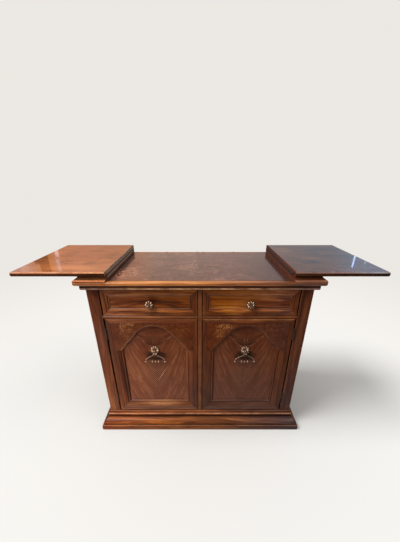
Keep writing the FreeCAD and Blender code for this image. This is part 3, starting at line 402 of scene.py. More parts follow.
def wood_colour(g, along, a, b, seed, tones, streaks=1.0, veins=0.5, fine=1.0, patches=(), flat=False):
    """Colour, and a height, of straight-grained veneer or board."""
    def n(ka, kc, detail, rough=0.55, off=0.0):
        return g.noise(g.vec(g.add(g.mul(along, ka), seed + off), g.mul(a, kc), g.mul(b, kc)), 1.0, detail, rough)

    broad = g.sub(n(1.3, 13.0, 3.0), 0.5)
    mid = g.sub(n(2.6, 62.0, 4.0, 0.62, 3.1), 0.5)
    thin = g.sub(n(7.0, 210.0, 3.0, 0.6, 5.7), 0.5)
    fibre = g.sub(n(26.0, 900.0, 2.0, 0.5, 9.2), 0.5)
    f = g.add(0.5, g.mul(broad, 1.15 * streaks))
    f = g.add(f, g.mul(mid, 1.1 * streaks))
    f = g.add(f, g.mul(thin, 0.55 * fine))
    f = g.add(f, g.mul(fibre, 0.22 * fine))
    _, px, py, pz = g.position()
    for cx, cz, rx, rz, amount in patches:
        f = g.add(f, g.mul(nearness(g, px, py if flat else pz, cx, cz, rx, rz, 1.6, mid), amount))
    colour = g.ramp(f, tones)
    # long dark veins
    path = g.math("ABSOLUTE", g.sub(n(1.5, 21.0, 2.0, 0.5, 12.4), 0.5))
    vein = g.span(path, 0.0, 0.035, 1.0, 0.0)
    patch = g.span(n(2.2, 9.0, 2.0, 0.5, 15.0), 0.38, 0.62)
    vein = g.mul(g.mul(vein, patch), veins)
    colour = g.mix(vein, colour, (0.018, 0.006, 0.004))
    # open pores
    pore = g.span(n(70.0, 1500.0, 1.0, 0.5, 20.0), 0.62, 0.72)
    colour = g.mix(g.mul(pore, 0.35 * fine), colour, (0.02, 0.008, 0.005))
    height = g.sub(g.add(g.mul(thin, 0.6), g.mul(fibre, 0.6)), g.mul(pore, 0.7))
    return colour, height, mid


def wear_highlight_and_groove_shade(g, colour, wear_and_highlight=0.5, groove_shade=0.85, light=(0.36, 0.15, 0.055)):
    """Rubbed wear with a painted highlight on arrises, and painted shade in grooves and hollows, from the tone on the
    mesh.
    """
    t = g.tone()
    rub = g.noise(g.position()[0], 19.0, 4.0, 0.66)
    up = g.mul(g.math("MAXIMUM", t, 0.0), g.span(rub, 0.22, 0.68, 0.15, 1.0))
    down = g.math("MAXIMUM", g.mul(t, -1.0), 0.0)
    colour = g.mix(g.mul(up, wear_and_highlight), colour, light)
    return g.mix(g.mul(g.math("POWER", down, 1.5), groove_shade), colour, (0.010, 0.0035, 0.002)), t


WALNUT = [(0.16, (0.020, 0.0042, 0.0016)), (0.36, (0.062, 0.0130, 0.0035)), (0.52, (0.112, 0.0255, 0.0060)),
          (0.68, (0.172, 0.0450, 0.0105)), (0.86, (0.270, 0.082, 0.021))]
WALNUT_DARK = [(0.16, (0.010, 0.0030, 0.0016)), (0.36, (0.030, 0.0078, 0.0030)), (0.52, (0.056, 0.0150, 0.0052)),
               (0.68, (0.088, 0.0260, 0.0090)), (0.86, (0.145, 0.048, 0.017))]
WALNUT_LIGHT = [(0.16, (0.040, 0.011, 0.0040)), (0.36, (0.115, 0.034, 0.010)), (0.52, (0.200, 0.066, 0.018)),
                (0.68, (0.295, 0.108, 0.031)), (0.86, (0.420, 0.175, 0.056))]


# lighter walnut for the slab's nose and the end caps' bead, standing in for the highlight their rounded tops catch
WALNUT_NOSE = [(0.16, (0.062, 0.0145, 0.0042)), (0.36, (0.175, 0.0440, 0.0105)), (0.52, (0.300, 0.0860, 0.0190)),
               (0.68, (0.440, 0.140, 0.033)), (0.86, (0.600, 0.225, 0.060))]
WALNUT_CAP = [(0.16, (0.046, 0.0110, 0.0030)), (0.36, (0.132, 0.0340, 0.0078)), (0.52, (0.230, 0.0660, 0.0140)),
              (0.68, (0.340, 0.108, 0.024)), (0.86, (0.480, 0.175, 0.043))]
WALNUT_TOP = [(0.16, (0.030, 0.0085, 0.0035)), (0.36, (0.085, 0.0250, 0.0080)), (0.52, (0.140, 0.0430, 0.0130)),
              (0.68, (0.205, 0.070, 0.021)), (0.86, (0.300, 0.115, 0.038))]


def wood(name, axis, tones=WALNUT, seed=0.0, streaks=1.0, veins=0.5, fine=1.0, rough=0.36, specular=0.22,
         coat=0.18, coat_rough=0.18, wear_and_highlight=0.5, bump=0.22, wander=1.0, light=(0.36, 0.15, 0.055), groove_shade=0.85,
         patches=(), flat=False, painted_light_drift=None, marks=(), arris=None, glints=()):
    g = Graph(name)
    along, a, b = grain_space(g, axis, seed, wander)
    colour, height, mid = wood_colour(g, along, a, b, seed, tones, streaks, veins, fine, patches, flat)
    if marks:
        # short dark feathers of crotch figure
        _, mx, my, mz = g.position()
        feather = g.span(g.noise(g.vec(g.mul(a, 46.0), g.mul(along, 15.0), 4.0 + seed), 1.0, 3.0, 0.6, 0.8), 0.38, 0.52)
        for cx, cy, rx, ry, amount in marks:
            near = nearness(g, mx, my, cx, cy, rx * 1.25, ry * 1.25, 1.1, mid)
            colour = g.mix(g.mul(g.mul(near, feather), amount), colour, (0.006, 0.0018, 0.0009))
    for cx, cz, rx, rz, amount, light_line in glints:
        # painted highlights: single light lines across the board where warm light glints on it
        _, mx, my, mz = g.position()
        colour = g.mix(g.mul(nearness(g, mx, mz, cx, cz, rx, rz, 0.5, mid), amount), colour, light_line)
    if painted_light_drift:
        # painted light and shade: the colour is scaled along one axis to follow the light falling off across the piece,
        # with a painted cool reflection where the stops turn blue
        way, stops = painted_light_drift
        _, dx, dy, dz = g.position()
        lo, hi = stops[0][0], stops[-1][0]
        d = g.span({"x": dx, "y": dy, "z": dz}[way], lo, hi, smooth=False)
        colour = g.mix(1.0, colour, g.ramp(d, [((at - lo) / (hi - lo), (m * 0.5,) * 3 if isinstance(m, float) else tuple(
            v * 0.5 for v in m)) for at, m in stops]), "MULTIPLY")
        colour = g.mix(1.0, colour, (2.0, 2.0, 2.0), "MULTIPLY")
    if arris:
        # rubbed edges with a painted highlight, in a colour that changes along x to follow the light, bluer where a
        # cool reflection is painted
        lo, hi = arris[0][0], arris[-1][0]
        light = g.ramp(g.span(g.position()[1], lo, hi, smooth=False), [((at - lo) / (hi - lo), c) for at, c in arris])
    colour, t = wear_highlight_and_groove_shade(g, colour, wear_and_highlight, groove_shade, light)
    haze = g.noise(g.position()[0], 14.0, 3.0, 0.6)
    r = g.add(rough - 0.07, g.mul(haze, 0.14))
    r = g.add(r, g.mul(g.math("ABSOLUTE", t), 0.12))
    normal = g.bump(height, bump, 0.0004)
    return g.finish(colour, r, normal, specular=specular, coat=coat, coat_rough=coat_rough)


def burl(name, tones, gold=(0.30, 0.17, 0.06), gold_amount=0.5, seed=0.0, scale=1.0, match_x=None,
         rough=0.34, specular=0.25, coat=0.25, coat_rough=0.14, bump=0.12, spots=(), wide=1.0, flat=False,
         birds=190.0, painted_light_drift=None, calm=None):
    g = Graph(name)
    _, x, y, z = g.position()
    x_true, z_true = x, (y if flat else z)
    if match_x is not None:
        x = g.math("ABSOLUTE", g.sub(g.math("ABSOLUTE", x), match_x) if match_x else x)
    p = g.vec(g.mul(g.add(x, seed), 1.0 / wide), y, z)
    warp = g.node("ShaderNodeTexNoise")
    g.put(warp.inputs["Vector"], p)
    warp.inputs["Scale"].default_value = 17.0 * scale
    warp.inputs["Detail"].default_value = 3.0
    off = g.node("ShaderNodeVectorMath", operation="MULTIPLY_ADD")
    g.tree.links.new(warp.outputs["Color"], off.inputs[0])
    off.inputs[1].default_value = (0.05 / scale,) * 3
    g.put(off.inputs[2], p)
    q = off.outputs[0]
    eyes = g.voronoi(q, 46.0 * scale, "SMOOTH_F1", 0.5)
    small = g.voronoi(q, 150.0 * scale)
    swirl = g.noise(q, 30.0 * scale, 5.0, 0.62, 1.3)
    cloud = g.noise(p, 7.0 * scale, 3.0, 0.55)
    rings = g.math("SINE", g.mul(eyes, 26.0))
    f = g.add(g.add(g.mul(swirl, 0.75), g.mul(cloud, 0.35)), g.mul(rings, 0.055))
    f = g.add(f, g.mul(small, -0.10))
    colour = g.ramp(g.sub(f, 0.02), tones)
    knot = g.mul(g.span(eyes, 0.11, 0.02), g.span(cloud, 0.42, 0.6))
    colour = g.mix(g.mul(knot, 0.8), colour, (0.018, 0.007, 0.004))
    fleck = g.span(g.noise(q, 120.0 * scale, 3.0, 0.6, 0.6), 0.55, 0.66)
    zone = g.span(g.noise(p, 9.0 * scale, 2.0, 0.5), 0.44, 0.62)
    colour = g.mix(g.mul(g.mul(fleck, zone), gold_amount), colour, gold)
    if calm:
        # the figure is quieter towards one end
        start, end, amount, even = calm
        colour = g.mix(g.mul(g.span(x_true, start, end), amount), colour, even)
    bird = g.span(g.noise(q, birds * scale, 3.0, 0.65, 1.4), 0.54, 0.62)
    for sx, sz, rx, rz, strength, *own in spots:
        near = nearness(g, x_true, z_true, sx, sz, rx, rz, 0.8, g.sub(cloud, 0.5))
        colour = g.mix(g.mul(g.mul(near, bird), strength), colour, own[0] if own else tuple(v * 1.25 for v in gold))
    if painted_light_drift:
        # painted light and shade along x, darker and warmer at one end and bluer at the other
        lo, hi = painted_light_drift[0][0], painted_light_drift[-1][0]
        colour = g.mix(1.0, colour, g.ramp(g.span(x_true, lo, hi, smooth=False), [
            ((at - lo) / (hi - lo), tuple(v * 0.5 for v in m)) for at, m in painted_light_drift]), "MULTIPLY")
        colour = g.mix(1.0, colour, (2.0, 2.0, 2.0), "MULTIPLY")
    colour, t = wear_highlight_and_groove_shade(g, colour, 0.4)
    r = g.add(rough - 0.05, g.mul(cloud, 0.1))
    normal = g.bump(g.add(swirl, g.mul(small, -0.3)), bump, 0.0004)
    return g.finish(colour, r, normal, specular=specular, coat=coat, coat_rough=coat_rough)


def field_veneer(name, mid=0.213, rosette=0.483):
    """A door's field: four matched sheets of veneer that meet under the rosette."""
    g = Graph(name)
    _, x, y, z = g.position()
    signed = g.sub(g.math("ABSOLUTE", x), mid)
    u = g.math("ABSOLUTE", signed)
    wob = g.sub(g.noise(g.vec(g.mul(u, 9.0), 0.0, g.mul(z, 5.0)), 1.0, 2.0), 0.5)
    wob2 = g.sub(g.noise(g.vec(g.mul(u, 40.0), 3.0, g.mul(z, 26.0)), 1.0, 2.0), 0.5)
    uw = g.add(u, g.add(g.mul(wob, 0.030), g.mul(wob2, 0.004)))
    # lower sheets: grain that fans out from the middle of the foot
    slope = g.math("MAXIMUM", g.sub(0.64, g.mul(uw, 2.75)), 0.08)
    w = g.add(z, g.mul(g.math("LOGARITHM", slope, math.e), 0.3636))
    low_a = g.mul(w, 0.42)
    # upper sheet: arcs hanging about the upper middle
    zz = g.mul(g.sub(z, rosette + 0.205), 0.80)
    ring = g.math("SQRT", g.add(g.mul(uw, uw), g.mul(zz, zz)))
    seam = g.sub(g.add(u, g.mul(wob2, 0.010)), g.mul(g.sub(z, rosette), 1.06))
    upper = g.mul(g.span(seam, 0.0006, -0.0006), g.span(z, rosette + 0.002, rosette + 0.004))
    a = g.add(g.mul(low_a, g.sub(1.0, upper)), g.mul(g.mul(ring, 1.15), upper))
    along = g.add(g.mul(g.sub(g.mul(z, 0.85), g.mul(u, 0.5)), g.sub(1.0, upper)), g.mul(g.add(u, 0.7), upper))
    tones = [(0.18, (0.032, 0.0076, 0.0030)), (0.36, (0.070, 0.0170, 0.0062)), (0.50, (0.105, 0.0280, 0.0102)),
             (0.66, (0.150, 0.0440, 0.0170)), (0.84, (0.215, 0.0730, 0.0310))]

    def n(ka, kc, detail, rough=0.55, off=0.0):
        return g.noise(g.vec(g.add(g.mul(along, ka), off), g.mul(a, kc), 0.31 + off), 1.0, detail, rough)

    broad = g.sub(n(1.6, 24.0, 3.0), 0.5)
    mids = g.sub(n(7.0, 85.0, 3.0, 0.62, 2.2), 0.5)
    thin = g.sub(n(14.0, 330.0, 3.0, 0.6, 4.4), 0.5)
    fibre = g.sub(n(40.0, 1500.0, 2.0, 0.5, 6.6), 0.5)
    mottle = g.sub(g.noise(g.vec(g.mul(x, 1.0), 0.7, g.mul(z, 0.7)), 75.0, 3.0, 0.6), 0.5)
    cloud = g.sub(g.noise(g.vec(x, 2.7, z), 13.0, 2.0, 0.5), 0.5)
    f = g.add(g.add(0.50, g.mul(broad, 0.26)), g.add(g.mul(mids, 0.40), g.mul(thin, 0.36)))
    f = g.add(f, g.add(g.mul(fibre, 0.2), g.add(g.mul(mottle, 0.28), g.mul(cloud, 0.30))))
    # the upper sheet lies darker, with bands
    f = g.sub(f, g.mul(upper, g.span(u, 0.0, 0.11, 0.15, 0.10)))
    colour = g.ramp(f, tones)
    # bright flecks of figure, longer than wide
    fleck = g.span(n(6.5, 62.0, 3.0, 0.62, 31.0), 0.54, 0.70)
    fleck = g.mul(fleck, g.sub(1.0, g.mul(upper, 0.55)))
    colour = g.mix(g.mul(fleck, 0.46), colour, (0.27, 0.110, 0.055))
    needle = g.span(n(11.0, 230.0, 2.0, 0.5, 47.0), 0.60, 0.72)
    colour = g.mix(g.mul(needle, 0.40), colour, (0.32, 0.145, 0.080))
    # painted shade and light: the right door's field is darkened towards its foot and a painted pool of light brightens
    # the left one, as the light falls off from the left
    right = g.span(x, -0.01, 0.01)
    foot = g.span(z, 0.52, 0.24)
    colour = g.mix(g.mul(g.mul(foot, right), 0.36), colour, (0.056, 0.0215, 0.0160))
    left_light_pool = g.mul(nearness(g, x, z, -0.300, 0.365, 0.11, 0.10, 1.2, mids), g.sub(1.0, right))
    colour = g.mix(g.mul(left_light_pool, 0.10), colour, (0.30, 0.115, 0.045))
    # painted shade: the field darkens and turns less blue towards the top, as its lower part catches a sheen
    colour = g.mix(1.0, colour, g.ramp(g.span(z, 0.20, 0.60), [(0.0, (1.0, 1.0, 1.0)), (1.0, (0.92, 0.86, 0.72))]), "MULTIPLY")
    # a lattice where the two lower sheets cross, under the pull
    lat = g.math("MAXIMUM", g.math("SINE", g.mul(g.add(g.mul(u, 1.45), z), 440.0)),
                 g.math("SINE", g.mul(g.sub(g.mul(u, 1.45), z), 440.0)))
    lat = g.add(lat, g.mul(mottle, 1.2))
    spot = g.math("SQRT", g.add(g.mul(u, u), g.mul(g.mul(g.sub(z, 0.340), 0.62), g.mul(g.sub(z, 0.340), 0.62))))
    around = g.span(g.add(spot, g.mul(mottle, 0.05)), 0.080, 0.024)
    colour = g.mix(g.mul(g.mul(g.span(lat, 0.60, 0.95), around), 0.68), colour, (0.036, 0.013, 0.006))
    colour = g.mix(g.mul(g.mul(g.span(lat, 0.35, -0.45), around), 0.42), colour, (0.34, 0.155, 0.085))
    # painted shadow of the bail on the field, with dirt from handling round the pull
    bail_shade_x = g.math("DIVIDE", u, 0.052)
    bail_shade_z = g.math("DIVIDE", g.sub(z, 0.450), 0.030)
    bail_shadow_and_soil = g.math("SQRT", g.add(g.mul(bail_shade_x, bail_shade_x), g.mul(bail_shade_z, bail_shade_z)))
    bail_shadow_and_soil = g.mul(g.span(g.add(bail_shadow_and_soil, g.mul(mottle, 0.9)), 1.20, 0.60), 0.86)
    colour = g.mix(bail_shadow_and_soil, colour, (0.016, 0.0060, 0.0022))
    # pale scuffs left by the bail on the lower sheets, on the left door only
    left = g.span(x, 0.0, -0.01)
    for ax, az, bx, bz, w, much in ((-0.160, 0.385, -0.212, 0.285, 0.0036, 0.55), (-0.297, 0.305, -0.237, 0.172, 0.0100, 0.11),
                                    (-0.145, 0.300, -0.165, 0.190, 0.0090, 0.10), (-0.315, 0.345, -0.290, 0.270, 0.0150, 0.13)):
        run = math.hypot(bx - ax, bz - az)
        ux, uz = (bx - ax) / run, (bz - az) / run
        rx_, rz_ = g.sub(x, ax), g.sub(z, az)
        t_along = g.add(g.mul(rx_, ux), g.mul(rz_, uz))
        t_off = g.math("ABSOLUTE", g.add(g.sub(g.mul(rx_, uz), g.mul(rz_, ux)), g.mul(wob2, 0.010)))
        mark = g.mul(g.span(t_off, w, w * 0.1), g.mul(g.span(t_along, 0.0, run * 0.45), g.span(t_along, run, run * 0.55)))
        colour = g.mix(g.mul(g.mul(mark, left), much), colour, (0.44, 0.23, 0.13))
    # seams between the sheets: a light line with a dark edge
    near = g.math("ABSOLUTE", seam)
    above = g.mul(g.span(z, rosette - 0.001, rosette + 0.003), g.span(u, 0.094, 0.088))
    broken = g.span(g.noise(g.vec(x, 1.9, z), 75.0, 3.0, 0.6), 0.42, 0.60, 0.1, 1.0)
    diag = g.mul(g.mul(g.mul(g.span(near, 0.0040, 0.0008), above), broken), 0.42)
    colour = g.mix(diag, colour, (0.34, 0.175, 0.10))
    centre = g.mul(g.span(u, 0.0014, 0.0006), g.span(z, 0.60, 0.595))
    colour = g.mix(g.mul(centre, 0.45), colour, (0.03, 0.010, 0.005))
    twin = g.math("ABSOLUTE", g.sub(u, g.add(0.006, g.mul(g.sub(0.560, z), 0.02))))
    glow = g.mul(g.mul(g.span(twin, 0.0024, 0.0008), g.span(z, 0.506, 0.520)), g.span(z, 0.552, 0.538))
    colour = g.mix(g.mul(g.mul(glow, broken), 0.34), colour, (0.30, 0.155, 0.085))
    haze = g.noise(g.position()[0], 14.0, 3.0, 0.6)
    r = g.add(0.30, g.mul(haze, 0.14))
    normal = g.bump(g.add(thin, fibre), 0.18, 0.0004)
    return g.finish(colour, r, normal, specular=0.22, coat=0.20, coat_rough=0.14)


def brass(name, bright=(0.72, 0.53, 0.30), patina=(0.085, 0.048, 0.020), rough=0.30, seed=0.0, amount=0.45,
          seam=None):
    g = Graph(name)
    p, _, _, pz = g.position()
    t = g.tone()
    blot = g.noise(p, 160.0, 4.0, 0.62)
    fine = g.noise(p, 900.0, 3.0, 0.6)
    keep = g.add(g.mul(t, 0.62), g.add(g.mul(g.sub(blot, 0.5), 0.9), g.mul(g.sub(fine, 0.5), 0.5)))
    shine = g.span(keep, -0.35 + amount * 0.2, 0.35 + amount * 0.2)
    colour = g.mix(shine, patina, bright)
    if seam:
        at, half = seam
        gap = g.span(g.math("ABSOLUTE", g.sub(pz, at)), half, half * 0.6)
        colour = g.mix(gap, colour, (0.004, 0.003, 0.003))
        shine = g.mul(shine, g.sub(1.0, gap))
    metallic = g.add(0.45, g.mul(shine, 0.55))
    r = g.sub(rough + 0.28, g.mul(shine, 0.28))
    normal = g.bump(g.add(g.mul(blot, 0.6), fine), 0.25, 0.0003)
    return g.finish(colour, r, normal, metallic=metallic, specular=0.5)


def plain(name, colour, rough, specular=0.4, noise_scale=300.0, vary=0.25, bump=0.2, metallic=0.0, sheen=0.0):
    g = Graph(name)
    p = g.position()[0]
    n1 = g.noise(p, noise_scale, 3.0, 0.6)
    n2 = g.noise(p, noise_scale / 12.0, 3.0, 0.6)
    f = g.add(g.mul(n1, 0.6), g.mul(n2, 0.4))
    dark = tuple(c * (1 - vary) for c in colour)
    light = tuple(min(1.0, c * (1 + vary)) for c in colour)
    c = g.mix(g.span(f, 0.3, 0.7), dark, light)
    r = g.add(rough - 0.06, g.mul(n1, 0.12))
    normal = g.bump(n1, bump, 0.0003)
    return g.finish(c, r, normal, specular=specular, metallic=metallic, sheen=sheen)


PLY = [(0.2, (0.145, 0.066, 0.030)), (0.4, (0.205, 0.098, 0.045)), (0.55, (0.250, 0.124, 0.059)),
       (0.7, (0.295, 0.152, 0.076)), (0.85, (0.340, 0.184, 0.098))]
OAK = [(0.2, (0.20, 0.105, 0.048)), (0.4, (0.31, 0.175, 0.085)), (0.55, (0.39, 0.235, 0.120)),
       (0.7, (0.46, 0.290, 0.160)), (0.85, (0.53, 0.360, 0.210))]
INSIDE = [(0.2, (0.050, 0.018, 0.009)), (0.4, (0.095, 0.036, 0.017)), (0.55, (0.135, 0.055, 0.026)),
          (0.7, (0.175, 0.077, 0.038)), (0.85, (0.235, 0.112, 0.058))]

